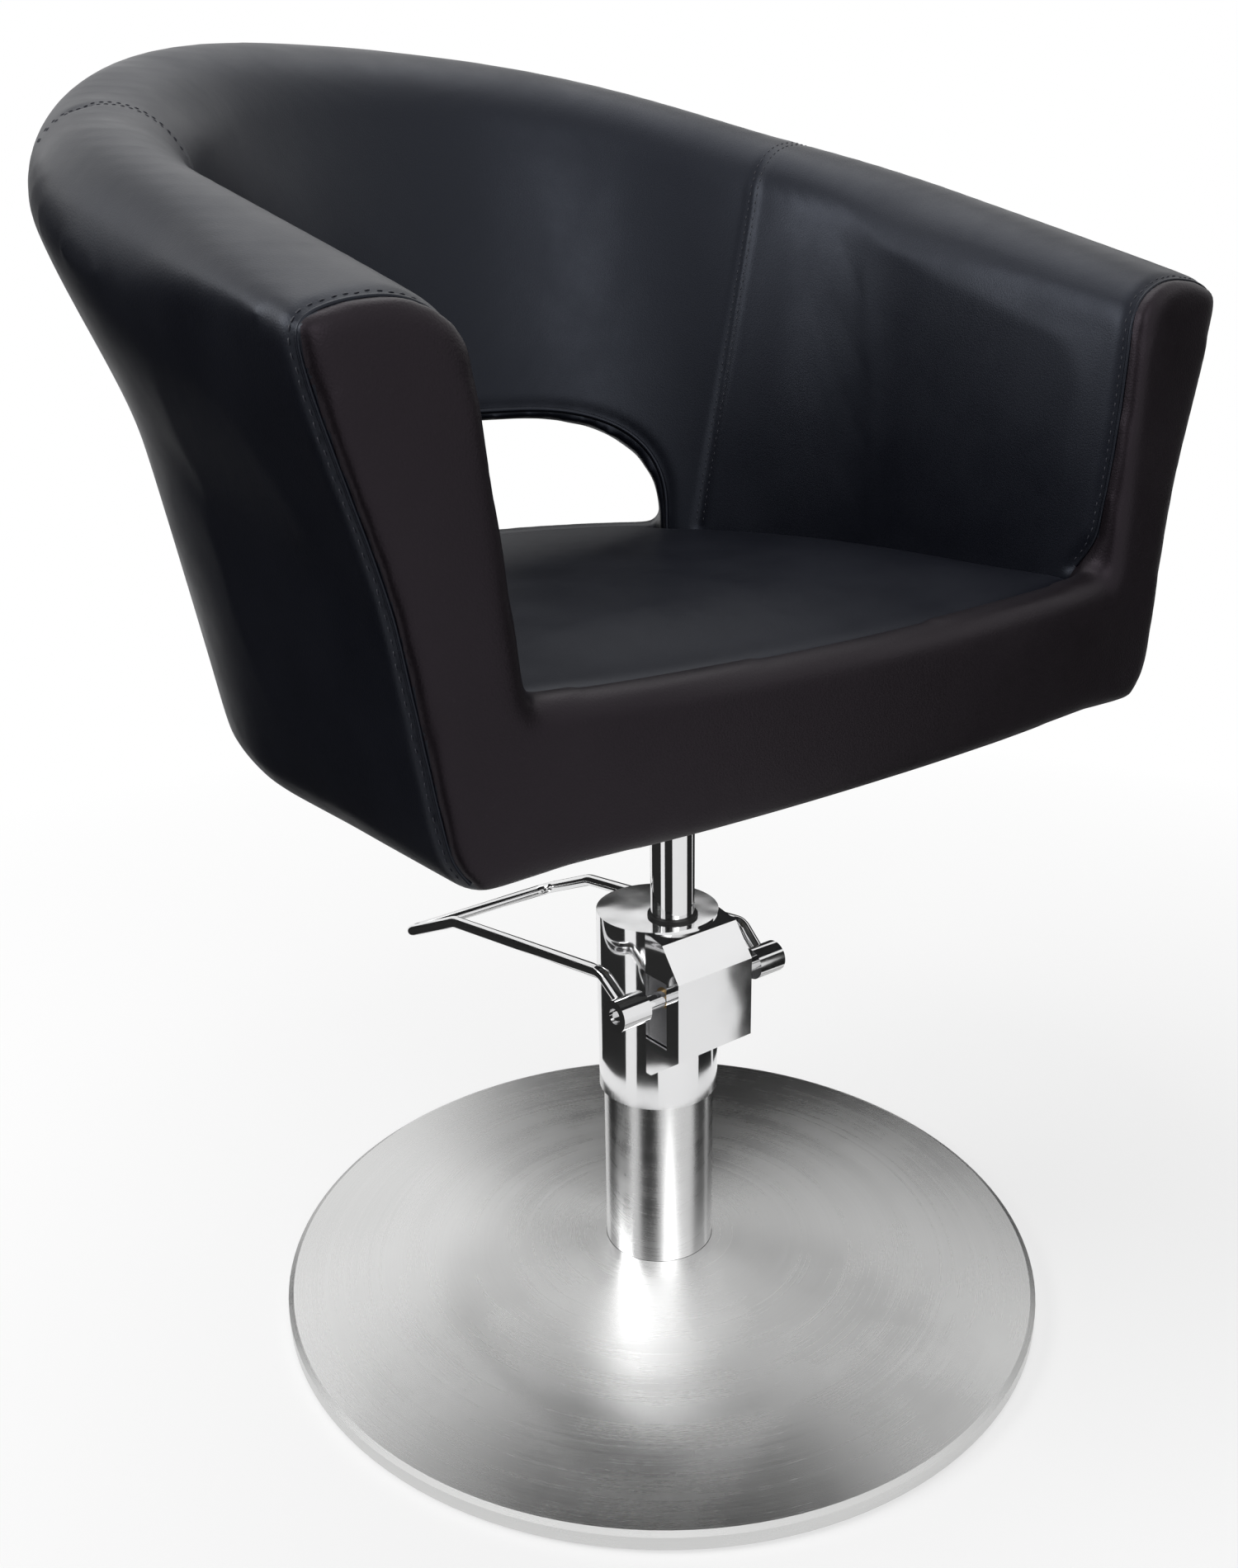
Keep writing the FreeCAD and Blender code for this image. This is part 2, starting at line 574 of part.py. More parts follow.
def opening_wedge(low, grow=0.0):
    """The arch under the back: its sides run out along the radii of the half-round."""
    side = math.tan(math.radians(value("opening_angle")))
    top, shoulder = value("opening_top") + grow, value("opening_shoulder")

    def outline(y):
        half = side * y + grow
        flat = 0.29 * half
        arch = [V(flat + (half - flat) * math.cos(math.radians(turn)), y,
                  top - shoulder + shoulder * math.sin(math.radians(turn))) for turn in (0, 22, 45, 68, 90)]
        mirror = [V(-p.x, p.y, p.z) for p in reversed(arch)]
        corners = [V(-half, y, low), V(half, y, low)]
        return Part.Wire([Part.LineSegment(corners[0], corners[1]).toShape(),
                          Part.LineSegment(corners[1], arch[0]).toShape(), curve(arch),
                          Part.LineSegment(arch[-1], mirror[0]).toShape(), curve(mirror),
                          Part.LineSegment(mirror[-1], corners[0]).toShape()])

    return Part.makeLoft([outline(100), outline(500)], True, True)


def make_tub():
    gap, seat = value("gap"), value("seat_height")
    foam, ply = value("cover_foam"), value("shell_thickness")
    board = value("board_top")

    def cover_inner(z, station):
        return outer_width(z, station) - foam

    def ply_outer(z, station):
        return cover_inner(z, station) - gap

    def ply_inner(z, station):
        return ply_outer(z, station) - ply

    def pad_outer(z, station):
        return ply_inner(z, station) - gap

    feature("outer_cover", wall(seat - 92, outer_width, cover_inner).cut(opening_wedge(seat - 2)))
    feature("tub_shell", wall(board + gap, ply_outer, ply_inner).cut(opening_wedge(seat - 20, 1.0)))
    lining = wall(board + gap, pad_outer, inner_width).cut(opening_wedge(board - 9))
    seam, high = value("seam_setback"), 1200
    for label, corner, extent in (("inner_arm_pad_left", V(-500, -500, 0), V(500, 500 + seam - gap, high)),
                                  ("inner_arm_pad_right", V(0, -500, 0), V(500, 500 + seam - gap, high)),
                                  ("inner_back_pad", V(-500, seam, 0), V(1000, 600, high))):
        keep = Part.makeBox(extent.x, extent.y, extent.z, corner)
        feature(label, lining.common(keep))
    feature("top_roll", Part.makeLoft([roll_section(at) for at in STATIONS], True, False))
    make_front()
    make_cushion()


def front_outline():
    """Edge of the U-shaped front panel, seen from the front, as one closed wire at y = 0."""
    seat = value("seat_height")
    bottom, top = seat - 90, value("rim_front")
    heights = [bottom + (top - 16 - bottom) * i / 5 for i in range(6)]
    outer = [V(-outer_width(z), 0, z) for z in heights]
    crown = [V(-outer_width(top - 16) + 5, 0, top - 10), V(-outer_width(top - 16) + 18, 0, top - 4),
             V(-ridge_width(0), 0, top - 3), V(-inner_width(top - 36) - 16, 0, top - 11),
             V(-inner_width(top - 36), 0, top - 36)]
    inner_corner = V(-inner_width(seat), 0, seat + 2)
    left = [curve(outer), curve([outer[-1]] + crown), Part.LineSegment(crown[-1], inner_corner).toShape()]
    flip = FreeCAD.Matrix()
    flip.scale(-1, 1, 1)
    right = [edge.transformGeometry(flip) for edge in left]
    ledge = curve([inner_corner, V(0, 0, seat - 8), V(-inner_corner.x, 0, inner_corner.z)])
    sill = curve([outer[0], V(0, 0, seat - 101), V(-outer[0].x, 0, outer[0].z)])
    return Part.Wire(Part.sortEdges(left + right + [ledge, sill])[0])


def make_front():
    lean = math.degrees(math.atan(0.037))
    low = value("seat_height") - 105
    panel = doc.addObject("Part::Feature", "front_panel")
    sheet_face = Part.Face(front_outline())
    sheet_face.translate(V(0, 0, -low))
    panel.Shape = sheet_face.extrude(V(0, -value("panel_foam"), 0))
    front = front_line(low) - value("gap")
    panel.Placement = FreeCAD.Placement(V(0, front, low), FreeCAD.Rotation(V(1, 0, 0), -lean))
    piece(panel, "front_panel")
    rail = box("front_rail", "2 * $seat_half_width - 20", "14", "$seat_height - $board_top - 14",
               "-$seat_half_width + 10", "$tub_front + 8", "$board_top + 0.2")
    piece(rail, "front_rail")


def make_cushion():
    board, seat, gap = value("board_top"), value("seat_height"), value("gap")
    half, centre = value("seat_half_width") - 13, back_centre(board)
    front = value("tub_front") + 8 + 14 + gap
    low = board + gap
    thick = seat - 3 - low
    core = crowned(d_face(half, front, low, centre), thick)
    tongue = crowned(d_face(half + 36, centre - 50, low, centre), thick)
    tongue = tongue.common(opening_wedge(low - 10, -1.5))
    bolts = [(sx * value("mount_bolt_x"), value("ram_setback") + sy * value("mount_bolt_y"))
             for sx in (-1, 1) for sy in (-1, 1)]
    nut_room = [Part.makeCylinder(value("mount_bolt_radius") + 8, 3, V(x, y, low - 1)) for x, y in bolts]
    feature("seat_cushion", core.fuse(tongue).cut(Part.makeCompound(nut_room)))


def crowned(face, thick, edge=10):
    """A face raised to a slab with its upper edges rounded."""
    slab = face.extrude(V(0, 0, thick))
    top = slab.BoundBox.ZMax
    return slab.makeFillet(edge, [line for line in slab.Edges if line.BoundBox.ZMin > top - 0.1])


make_base()
make_pump()
make_lift()
make_lever()
make_mounting()
make_tub()
doc.recompute()

for obj in doc.Objects:
    if "Invalid" in obj.State or "Error" in obj.State:
        raise RuntimeError(f"{obj.Label} did not build: {obj.State}")
for node in nodes:
    if node.Shape.isNull() or not node.Shape.isValid() or not node.Shape.Solids:
        raise RuntimeError(f"{node.Label} is not a sound solid")

os.makedirs("parts", exist_ok=True)
for node in nodes:
    node.Shape.exportStep(f"parts/{node.Label}.step")
    print(f"{node.Label}: {len(node.Shape.Solids)} solid(s), {node.Shape.Volume / 1000:.1f} cm3")
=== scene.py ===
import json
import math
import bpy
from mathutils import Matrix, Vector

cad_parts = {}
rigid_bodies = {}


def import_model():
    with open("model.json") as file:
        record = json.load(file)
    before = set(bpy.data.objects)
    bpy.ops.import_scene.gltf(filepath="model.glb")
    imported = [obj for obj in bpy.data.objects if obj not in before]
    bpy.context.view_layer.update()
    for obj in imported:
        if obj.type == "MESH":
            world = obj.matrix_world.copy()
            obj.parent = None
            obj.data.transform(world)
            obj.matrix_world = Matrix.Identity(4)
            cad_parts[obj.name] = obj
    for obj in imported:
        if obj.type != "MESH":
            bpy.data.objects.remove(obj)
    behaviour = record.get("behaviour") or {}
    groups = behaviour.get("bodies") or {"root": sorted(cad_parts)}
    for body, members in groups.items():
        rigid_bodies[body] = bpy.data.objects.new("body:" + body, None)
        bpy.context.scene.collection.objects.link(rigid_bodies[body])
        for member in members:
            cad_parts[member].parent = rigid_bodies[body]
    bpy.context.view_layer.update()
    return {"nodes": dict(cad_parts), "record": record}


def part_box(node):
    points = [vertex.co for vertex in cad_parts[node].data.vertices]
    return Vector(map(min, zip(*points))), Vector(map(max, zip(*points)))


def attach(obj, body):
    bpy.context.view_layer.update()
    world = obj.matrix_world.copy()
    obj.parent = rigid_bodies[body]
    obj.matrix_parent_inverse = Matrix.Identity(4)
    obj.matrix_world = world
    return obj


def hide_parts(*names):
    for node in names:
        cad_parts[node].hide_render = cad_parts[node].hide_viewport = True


bl_info = {
    "name": "Styling Chair Upholstery and Finishes",
    "version": (1, 0, 0),
    "blender": (4, 5, 0),
    "location": "View3D > Sidebar > Chair",
    "description": "Builds the leather, seams and metal finishes of a hydraulic styling chair",
    "category": "Object",
}

import bmesh
import bpy
from bpy.props import FloatProperty, FloatVectorProperty, IntProperty, PointerProperty
from mathutils import Matrix, Vector, kdtree
from mathutils.bvhtree import BVHTree

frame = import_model()
SEAT_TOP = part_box("seat_cushion")[1].z + 0.003
BOARD_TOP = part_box("seat_board")[1].z
SEAT_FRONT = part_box("seat_cushion")[0].y
RAM_AXIS_Y = sum(corner.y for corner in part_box("ram")) / 2
MM = 0.001

# The arch: the flat share of its half width at the top, and how far back its edges are measured.
ARCH_FLAT = 0.29
ARCH_FACE_Y = 0.19
ARCH_MIDDLE_Y = 0.2
# The tongue of the seat that runs out through the arch, and the room that the tub leaves round it.
TONGUE_REACH = 0.272
TONGUE_ROOM = TONGUE_REACH + 4.5 * MM
# How far behind the front line the front panel ends below the seat.
BAND_SETBACK = 21.5 * MM
# Where the dark cards start and where they turn up, from the middle of the base.
CARDS_NEAR, CARDS_FAR = 0.36, 2.0


# ---------------------------------------------------------------- what a user may change

def length(name, text, default, low=0.0, high=2.0):
    return FloatProperty(name=name, description=text, default=default, min=low, max=high, unit="LENGTH")


def amount(name, text, default, low=0.0, high=10.0):
    return FloatProperty(name=name, description=text, default=default, min=low, max=high)


def colour(name, text, default):
    return FloatVectorProperty(name=name, description=text, default=default, size=3, min=0, max=1,
                               subtype="COLOR")


class ChairTubSizes(bpy.types.PropertyGroup):
    seat_top: length("Seat top", "Height of the seat over the floor", SEAT_TOP)
    half_width: length("Half width", "Half width of the tub at the board", 0.302)
    seat_half_width: length("Seat half width", "Half width between the arms at the seat", 0.246)
    lean: amount("Outer lean", "How far the outer face leans out per unit of height", 0.16)
    inner_lean: amount("Inner lean", "How far the inner face leans out per unit of height", 0.11)
    flare: length("Flare", "Extra swell of the outer face below the roll", 0.020)
    front: length("Front", "Front end of the arms", -0.197, -1.0, 1.0)
    front_lean: amount("Front lean", "How far the front leans back per unit of height", 0.037)
    arm_rise: length("Arm rise", "Height of the arm fronts over the seat", 0.196)
    rim_slope: amount("Rim slope", "Rise of the rim towards the back", 0.32)
    rim_crest: length("Rim crest", "Extra rise of the rim round the back", 0.014)
    seam_y: length("Side seam", "Place of the inner side seams behind the origin", 0.162)
    opening_angle: FloatProperty(name="Opening angle", description="Half angle of the arch under the back",
                                 default=math.radians(40.8), subtype="ANGLE")
    opening_rise: length("Opening rise", "Height of the arch over the seat", 0.095)
    opening_shoulder: length("Opening shoulder", "Height of the rounded shoulders of the arch", 0.080)
    panel_foam: length("Panel foam", "Thickness of the front panel", 0.0108)


class ChairUpholsterySizes(bpy.types.PropertyGroup):
    voxel: length("Cell", "Cell size of the padded meshes", 0.006, 0.002)
    pressure: amount("Pressure", "Pressure of the padding", 0.8)
    swell: length("Swell", "Furthest that the padding may swell", 0.003)
    frames: IntProperty(name="Frames", description="Steps that the padding takes to settle",
                        default=20, min=1)
    ironing: IntProperty(name="Ironing", description="Rounds that smooth the puckers", default=14, min=0)
    seam_depth: length("Seam depth", "How deep a seam pulls in", 0.0026)
    seam_width: length("Seam width", "Half width of the valley at a seam", 0.0055)
    welt: length("Welt", "Radius of the welt in a seam", 0.0013)
    piping: length("Piping", "Radius of the piping round the arch", 0.0021)
    stitch: length("Stitch", "Length of a stitch", 0.0042)
    stitch_pitch: length("Stitch pitch", "Distance from one stitch to the next", 0.0062)
    thread: length("Thread", "Radius of the thread", 0.00042)


class ChairColours(bpy.types.PropertyGroup):
    leather: colour("Leather", "Leatherette of the tub and seat", (0.0028, 0.0032, 0.0062))
    front_leather: colour("Front leather", "Leatherette of the front panel", (0.0048, 0.0034, 0.0046))
    thread: colour("Thread", "Sewing thread", (0.012, 0.013, 0.022))
    chrome: colour("Chrome", "Bright plating", (0.83, 0.83, 0.835))
    spun_steel: colour("Spun steel", "Brushed cover of the base", (0.66, 0.66, 0.655))
    rubber: colour("Rubber", "Floor ring and seals", (0.018, 0.018, 0.018))


class ChairStageSizes(bpy.types.PropertyGroup):
    camera_place: FloatVectorProperty(name="Camera place", description="Where the camera stands",
                                      size=3, default=(-0.6518, -0.7899, 0.7669),
                                      subtype="TRANSLATION", unit="LENGTH")
    camera_heading: FloatProperty(name="Heading", description="Turn of the camera about the upright",
                                  default=math.radians(-37.98), subtype="ANGLE")
    camera_pitch: FloatProperty(name="Pitch", description="How far the camera looks down",
                                default=math.radians(18.95), subtype="ANGLE")
    camera_roll: FloatProperty(name="Roll", description="Roll of the camera",
                               default=math.radians(-0.85), subtype="ANGLE")
    lens: amount("Lens", "Focal length in millimetres", 33.69, 1.0, 300.0)
    floor_radius: length("Floor", "Radius of the floor", 14.0, 1.0, 50.0)


# ---------------------------------------------------------------- form of the tub

def ease(x):
    x = min(max(x, 0.0), 1.0)
    return x * x * (3 - 2 * x)


def steps(low, high, count):
    return [low + (high - low) * i / (count - 1) for i in range(count)]


class Tub:
    """The tub wall: a U in plan whose half-round back moves backwards with height."""

    def __init__(self, sizes):
        self.sizes = sizes
        self.seat = sizes.seat_top
        self.rim_front = self.seat + sizes.arm_rise
        self.opening_top = self.seat + sizes.opening_rise

    def back_centre(self, z):
        rise = max(z - (self.seat - 65 * MM), 0.0)
        return -7 * MM + 35 * MM * (rise / 0.330) ** 1.5

    def front_line(self, z):
        return self.sizes.front + self.sizes.front_lean * (z - self.seat + 105 * MM)

    def rim_height(self, y):
        crest = self.sizes.rim_crest * ease((y - self.sizes.seam_y) / 0.185)
        return self.rim_front + self.sizes.rim_slope * (y - self.sizes.front) + crest

    def back_share(self, station):
        return ease(min(station, 4 - station) / 1.1)

    def inner_width(self, z):
        return self.sizes.seat_half_width + self.sizes.inner_lean * (z - self.seat)

    def outer_width(self, z, station=0.0):
        width = self.sizes.half_width + self.sizes.lean * (z - self.seat + 75 * MM)
        start = self.seat + 35 * MM + 0.7 * (self.ridge_height(station) - self.rim_front)
        flare = self.sizes.flare - 4 * MM + 4 * MM * self.back_share(station)
        tuck = max(self.seat - 68 * MM - z, 0.0) / 0.030
        return width + flare * ease((z - start) / 0.145) - 16 * MM * tuck * tuck

    def place(self, station, width, z):
        """Station 0 to 1 runs along the right arm, 1 to 3 round the back and 3 to 4 along the left arm."""
        centre, front = self.back_centre(z), self.front_line(z)
        if station <= 1:
            return Vector((-width, front + station * (centre - front), z))
        if station >= 3:
            return Vector((width, front + (4 - station) * (centre - front), z))
        angle = math.pi / 2 * (station - 1)
        return Vector((-width * math.cos(angle), centre + width * math.sin(angle), z))

    def ridge_height(self, station):
        middle = (self.sizes.half_width + self.sizes.seat_half_width) / 2 + 45 * MM
        return self.rim_height(self.place(station, middle, self.rim_front + 60 * MM).y)

    def roll_foot(self, station):
        return self.ridge_height(station) - 46 * MM - 30 * MM * self.back_share(station)

    def ridge_width(self, station):
        foot = self.roll_foot(station)
        return (self.outer_width(foot, station) + self.inner_width(foot)) / 2 + 4 * MM

    def outer_face(self, station, low, count):
        """(width, height) up the outer face and over the roll to its ridge."""
        share = self.back_share(station)
        top, ridge, drop = self.ridge_height(station), self.ridge_width(station), (16 + 42 * share) * MM
        points = [(self.outer_width(z, station), z) for z in steps(low, top - drop, count)]
        edge = points[-1][0]
        for turn in steps(0, math.pi / 2, 9)[1:]:
            points.append((ridge + (edge - ridge) * math.cos(turn), top - drop + drop * math.sin(turn)))
        return points

    def inner_face(self, station, low, count):
        """(width, height) from just past the ridge down the inner face."""
        share = self.back_share(station)
        top, ridge, drop = self.ridge_height(station), self.ridge_width(station), (36 + 22 * share) * MM
        edge, points = self.inner_width(top - drop), []
        for turn in steps(math.pi / 2, 0, 9)[1:]:
            points.append((ridge + (edge - ridge) * math.cos(turn), top - drop + drop * math.sin(turn)))
        return points + [(self.inner_width(z), z) for z in steps(top - drop, low, count)[1:]]

    def section(self, station):
        """One closed loop across the wall."""
        low, under = self.seat - 90 * MM, BOARD_TOP - 18 * MM
        outer = self.outer_face(station, low, 22)
        inner = self.inner_face(station, under, 22)
        hem = [(outer[0][0] - 22 * MM, under), (outer[0][0] - 6 * MM, under + 0.5 * MM)]
        return outer + inner + hem

    def seam_setback(self, width, z):
        """How far behind the front line the front panel ends: close on the outside, wrapped round inside."""
        outer, inner = self.outer_width(z), self.inner_width(z)
        across = ease(1.25 * (width - inner) / (outer - inner))
        above = z - self.seat
        inside = 1 + 6 * ease((120 * MM - above) / 0.100) + 14.5 * ease((30 * MM - above) / 0.030)
        return (inside * (1 - across) - 4.5 * across) * MM

    def ledge(self, x):
        """Height of the front edge of the seat, which dips a little in the middle."""
        return self.seat + (2 - 10 * (1 - (x / self.inner_width(self.seat)) ** 2)) * MM

    def sill(self, x):
        return self.seat - (101 - 11 * (x / self.sizes.half_width) ** 2) * MM


def inset(loop, depth):
    """A closed (width, height) loop moved inwards."""
    moved, count = [], len(loop)
    for i in range(count):
        before, after = loop[i - 1], loop[(i + 1) % count]
        run, rise = after[0] - before[0], after[1] - before[1]
        size = math.hypot(run, rise) or 1.0
        moved.append((loop[i][0] - depth * rise / size, loop[i][1] + depth * run / size))
    return moved


# ---------------------------------------------------------------- mesh tools

def new_object(name, mesh):
    obj = bpy.data.objects.new(name, mesh)
    bpy.context.scene.collection.objects.link(obj)
    return obj


def from_bmesh(name, work):
    bmesh.ops.recalc_face_normals(work, faces=work.faces)
    mesh = bpy.data.meshes.new(name)
    work.to_mesh(mesh)
    work.free()
    return new_object(name, mesh)


def lofted(name, loops, closed_ends=True):
    """A closed solid through loops of points."""
    work = bmesh.new()
    rings = [[work.verts.new(point) for point in loop] for loop in loops]
    count = len(rings[0])
    for first, second in zip(rings, rings[1:]):
        for i in range(count):
            j = (i + 1) % count
            work.faces.new((first[i], first[j], second[j], second[i]))
    if closed_ends:
        work.faces.new(rings[0])
        work.faces.new(rings[-1])
    return from_bmesh(name, work)


def settle(obj):
    """Apply every modifier by taking the evaluated mesh."""
    evaluated = obj.evaluated_get(bpy.context.evaluated_depsgraph_get())
    mesh = bpy.data.meshes.new_from_object(evaluated)
    obj.modifiers.clear()
    old, obj.data = obj.data, mesh
    bpy.data.meshes.remove(old)
    return obj


def carve(obj, tool):
    modifier = obj.modifiers.new("carve", "BOOLEAN")
    modifier.operation, modifier.solver, modifier.object = "DIFFERENCE", "EXACT", tool
    settle(obj)
    bpy.data.objects.remove(tool)
    return obj


def join(obj, other):
    work = bmesh.new()
    work.from_mesh(obj.data)
    work.from_mesh(other.data)
    work.to_mesh(obj.data)
    work.free()
    bpy.data.objects.remove(other)
    return obj


def cell_size(sizes):
    return sizes.voxel * 1.0


def remesh(obj, cell, rounds):
    modifier = obj.modifiers.new("cells", "REMESH")
    modifier.mode, modifier.voxel_size = "VOXEL", cell
    settle(obj)
    modifier = obj.modifiers.new("ease", "SMOOTH")
    modifier.iterations = rounds
    return settle(obj)


def near_tree(paths):
    points = [point for path in paths for point in path]
    tree = kdtree.KDTree(len(points))
    for i, point in enumerate(points):
        tree.insert(point, i)
    tree.balance()
    return tree


def swell(obj, sizes, paths, hold=0.007):
    """Blow the padding up against its seams, as foam does under a sewn cover."""
    tree = near_tree(paths)
    held = obj.vertex_groups.new(name="sewn")
    for vertex in obj.data.vertices:
        near = tree.find(vertex.co)[2]
        held.add([vertex.index], 1.0 if near < hold else 0.0, "REPLACE")
    start = [vertex.co.copy() for vertex in obj.data.vertices]
    modifier = obj.modifiers.new("padding", "CLOTH")
    cloth = modifier.settings
    cloth.quality, cloth.mass = 4, 0.3
    cloth.tension_stiffness = cloth.compression_stiffness = cloth.shear_stiffness = 22
    cloth.bending_stiffness = 4
    cloth.use_pressure, cloth.uniform_pressure_force = True, sizes.pressure
    cloth.vertex_group_mass = held.name
    cloth.effector_weights.gravity = 0
    modifier.collision_settings.use_collision = False
    for number in range(1, sizes.frames + 1):
        bpy.context.scene.frame_set(number)
    settle(obj)
    bpy.context.scene.frame_set(1)
    moves = [vertex.co - old for vertex, old in zip(obj.data.vertices, start)]
    near = [[] for _ in moves]
    for edge in obj.data.edges:
        first, second = edge.vertices
        near[first].append(second)
        near[second].append(first)
    for _ in range(sizes.ironing):
        moves = [(move + sum((moves[i] for i in ring), Vector())) / (len(ring) + 1)
                 for move, ring in zip(moves, near)]
    for vertex, old, move in zip(obj.data.vertices, start, moves):
        vertex.co = old + move.normalized() * min(move.length, sizes.swell)
    obj.vertex_groups.clear()
    return obj


def refine(obj):
    modifier = obj.modifiers.new("fine", "SUBSURF")
    modifier.levels = modifier.render_levels = 1
    return settle(obj)


def pull_in(obj, paths, depth, width):
    """Sink the surface along seams."""
    tree = near_tree(paths)
    mesh = obj.data
    normals = [vertex.normal.copy() for vertex in mesh.vertices]
    for vertex, normal in zip(mesh.vertices, normals):
        near = tree.find(vertex.co)[2]
        if near < 3 * width:
            vertex.co -= normal * depth * math.exp(-((near / width) ** 2))
    mesh.update()


def keep_faces(obj, name, test):
    """A copy of obj that holds only the faces whose centre passes the test."""
    work = bmesh.new()
    work.from_mesh(obj.data)
    gone = [face for face in work.faces if not test(face.calc_center_median())]
    bmesh.ops.delete(work, geom=gone, context="FACES")
    mesh = bpy.data.meshes.new(name)
    work.to_mesh(mesh)
    work.free()
    return new_object(name, mesh)


def surface_of(*objects):
    work = bmesh.new()
    for obj in objects:
        work.from_mesh(obj.data)
    tree = BVHTree.FromBMesh(work)
    work.free()
    return tree


def spaced(path, pitch):
    """Points along a path at even distances."""
    result, left = [path[0].copy()], pitch
    for first, second in zip(path, path[1:]):
        run = second - first
        size, at = run.length, 0.0
        while size - at >= left:
            at += left
            result.append(first + run * (at / size))
            left = pitch
        left -= size - at
    return result


def on_surface(tree, path, lift=0.0):
    """The path laid on a surface: (place, normal) pairs."""
    laid = []
    for point in path:
        place, normal, _, _ = tree.find_nearest(point)
        laid.append((place + normal * lift, normal))
    return laid


def tube(name, path, radius, closed=False, order=4):
    curve = bpy.data.curves.new(name, "CURVE")
    curve.dimensions = "3D"
    curve.bevel_depth, curve.bevel_resolution = radius, 3
    spline = curve.splines.new("NURBS")
    spline.points.add(len(path) - 1)
    for point, place in zip(spline.points, path):
        point.co = (*place, 1.0)
    spline.order_u, spline.use_endpoint_u, spline.use_cyclic_u = order, not closed, closed
    spline.resolution_u = 2
    return new_object(name, curve)


def eased(path, rounds=6):
    """A path with its small steps smoothed out and its ends kept."""
    for _ in range(rounds):
        path = [path[0]] + [(a + b * 2 + c) / 4 for a, b, c in zip(path, path[1:], path[2:])] + [path[-1]]
    return path


def stitch_row(work, laid, sizes):
    """A row of thread, each stitch a slim bead that dips into the leather at both ends."""
    around, along = 6, 5
    reach = sizes.stitch / 2
    for i in range(1, len(laid) - 1):
        centre, normal = laid[i]
        ahead = (laid[i + 1][0] - laid[i - 1][0]).normalized()
        side = normal.cross(ahead).normalized()
        rings = []
        for k in range(along):
            share = -1 + 2 * k / (along - 1)
            radius = sizes.thread * max(math.sqrt(max(1 - share ** 4, 0.0)), 0.25)
            hub = centre + ahead * reach * share - normal * sizes.thread * 1.4 * share ** 2
            rings.append([work.verts.new(hub + side * radius * math.cos(math.tau * a / around)
                                         + normal * radius * math.sin(math.tau * a / around))
                          for a in range(around)])
        for first, second in zip(rings, rings[1:]):
            for a in range(around):
                b = (a + 1) % around
                work.faces.new((first[a], first[b], second[b], second[a]))
        work.faces.new(rings[0])
        work.faces.new(rings[-1])


def shade(obj, material):
    obj.data.materials.clear()
    obj.data.materials.append(material)
    if obj.type == "MESH":
        obj.data.polygons.foreach_set("use_smooth", [True] * len(obj.data.polygons))
    return obj


def finished(obj, material, body="seat"):
    shade(obj, material)
    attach(obj, body)
    return obj


# ---------------------------------------------------------------- seam routes

def mirrored(path):
    return [Vector((-point.x, point.y, point.z)) for point in path]


def front_seam(tub):
    """Edge of the front panel on the right arm: up the outside, over the roll, down the inside."""
    path = []
    for width, z in tub.outer_face(0, tub.seat - 90 * MM, 40) + tub.inner_face(0, tub.seat + 2 * MM, 40):
        path.append(Vector((-width, tub.front_line(z) + tub.seam_setback(width, z), z)))
    return path


def seat_front_seam(tub):
    half = tub.inner_width(tub.seat) - 1 * MM
    return [Vector((x, SEAT_FRONT - 0.5 * MM, tub.ledge(x))) for x in steps(-half, half, 60)]


def side_seam(tub):
    """Inner side seam on the right: up the inner face and over the roll."""
    path = []
    seam = tub.sizes.seam_y
    top = tub.rim_height(seam) + 4 * MM
    for z in steps(tub.seat + 1 * MM, top - 58 * MM, 50):
        centre, width = tub.back_centre(z), tub.inner_width(z)
        path.append(Vector((-math.sqrt(width ** 2 - (seam - centre) ** 2), seam, z)))
    start = path[-1]
    centre = tub.back_centre(top)
    ridge = Vector((-math.sqrt((tub.inner_width(top) + 33 * MM) ** 2 - (seam - centre) ** 2), seam, top))
    for turn in steps(0, math.pi / 2, 12)[1:]:
        path.append(Vector((ridge.x + (start.x - ridge.x) * math.cos(turn), seam,
                            start.z + (ridge.z - start.z) * math.sin(turn))))
    for turn in steps(0, math.pi / 2, 12)[1:]:
        path.append(Vector((ridge.x - 36 * MM * math.sin(turn), seam,
                            ridge.z - 50 * MM * (1 - math.cos(turn)))))
    return path


def arch_path(tub, width_of, grow, low):
    """Edge of the rear arch where it meets a face of the wall, widened by grow."""
    tangent, widening = math.tan(tub.sizes.opening_angle), grow / ARCH_FACE_Y
    top, shoulder = tub.opening_top + grow, tub.sizes.opening_shoulder
    spring = top - shoulder

    def on_face(slope, z):
        centre, width = tub.back_centre(z), width_of(z)
        y = (centre + math.sqrt(width ** 2 * (1 + slope ** 2) - (slope * centre) ** 2)) / (1 + slope ** 2)
        return Vector((slope * y, y, z))

    half = []
    for z in steps(low, spring, 8)[:-1]:
        half.append(on_face(tangent + widening, z))
    for turn in steps(0, math.pi / 2, 26):
        slope = tangent * (ARCH_FLAT + (1 - ARCH_FLAT) * math.cos(turn)) + widening * math.cos(turn)
        half.append(on_face(slope, spring + shoulder * math.sin(turn)))
    for slope in steps(tangent * ARCH_FLAT, 0, 6)[1:]:
        half.append(on_face(slope, top))
    return half + mirrored(reversed(half[:-1]))


# ---------------------------------------------------------------- upholstery

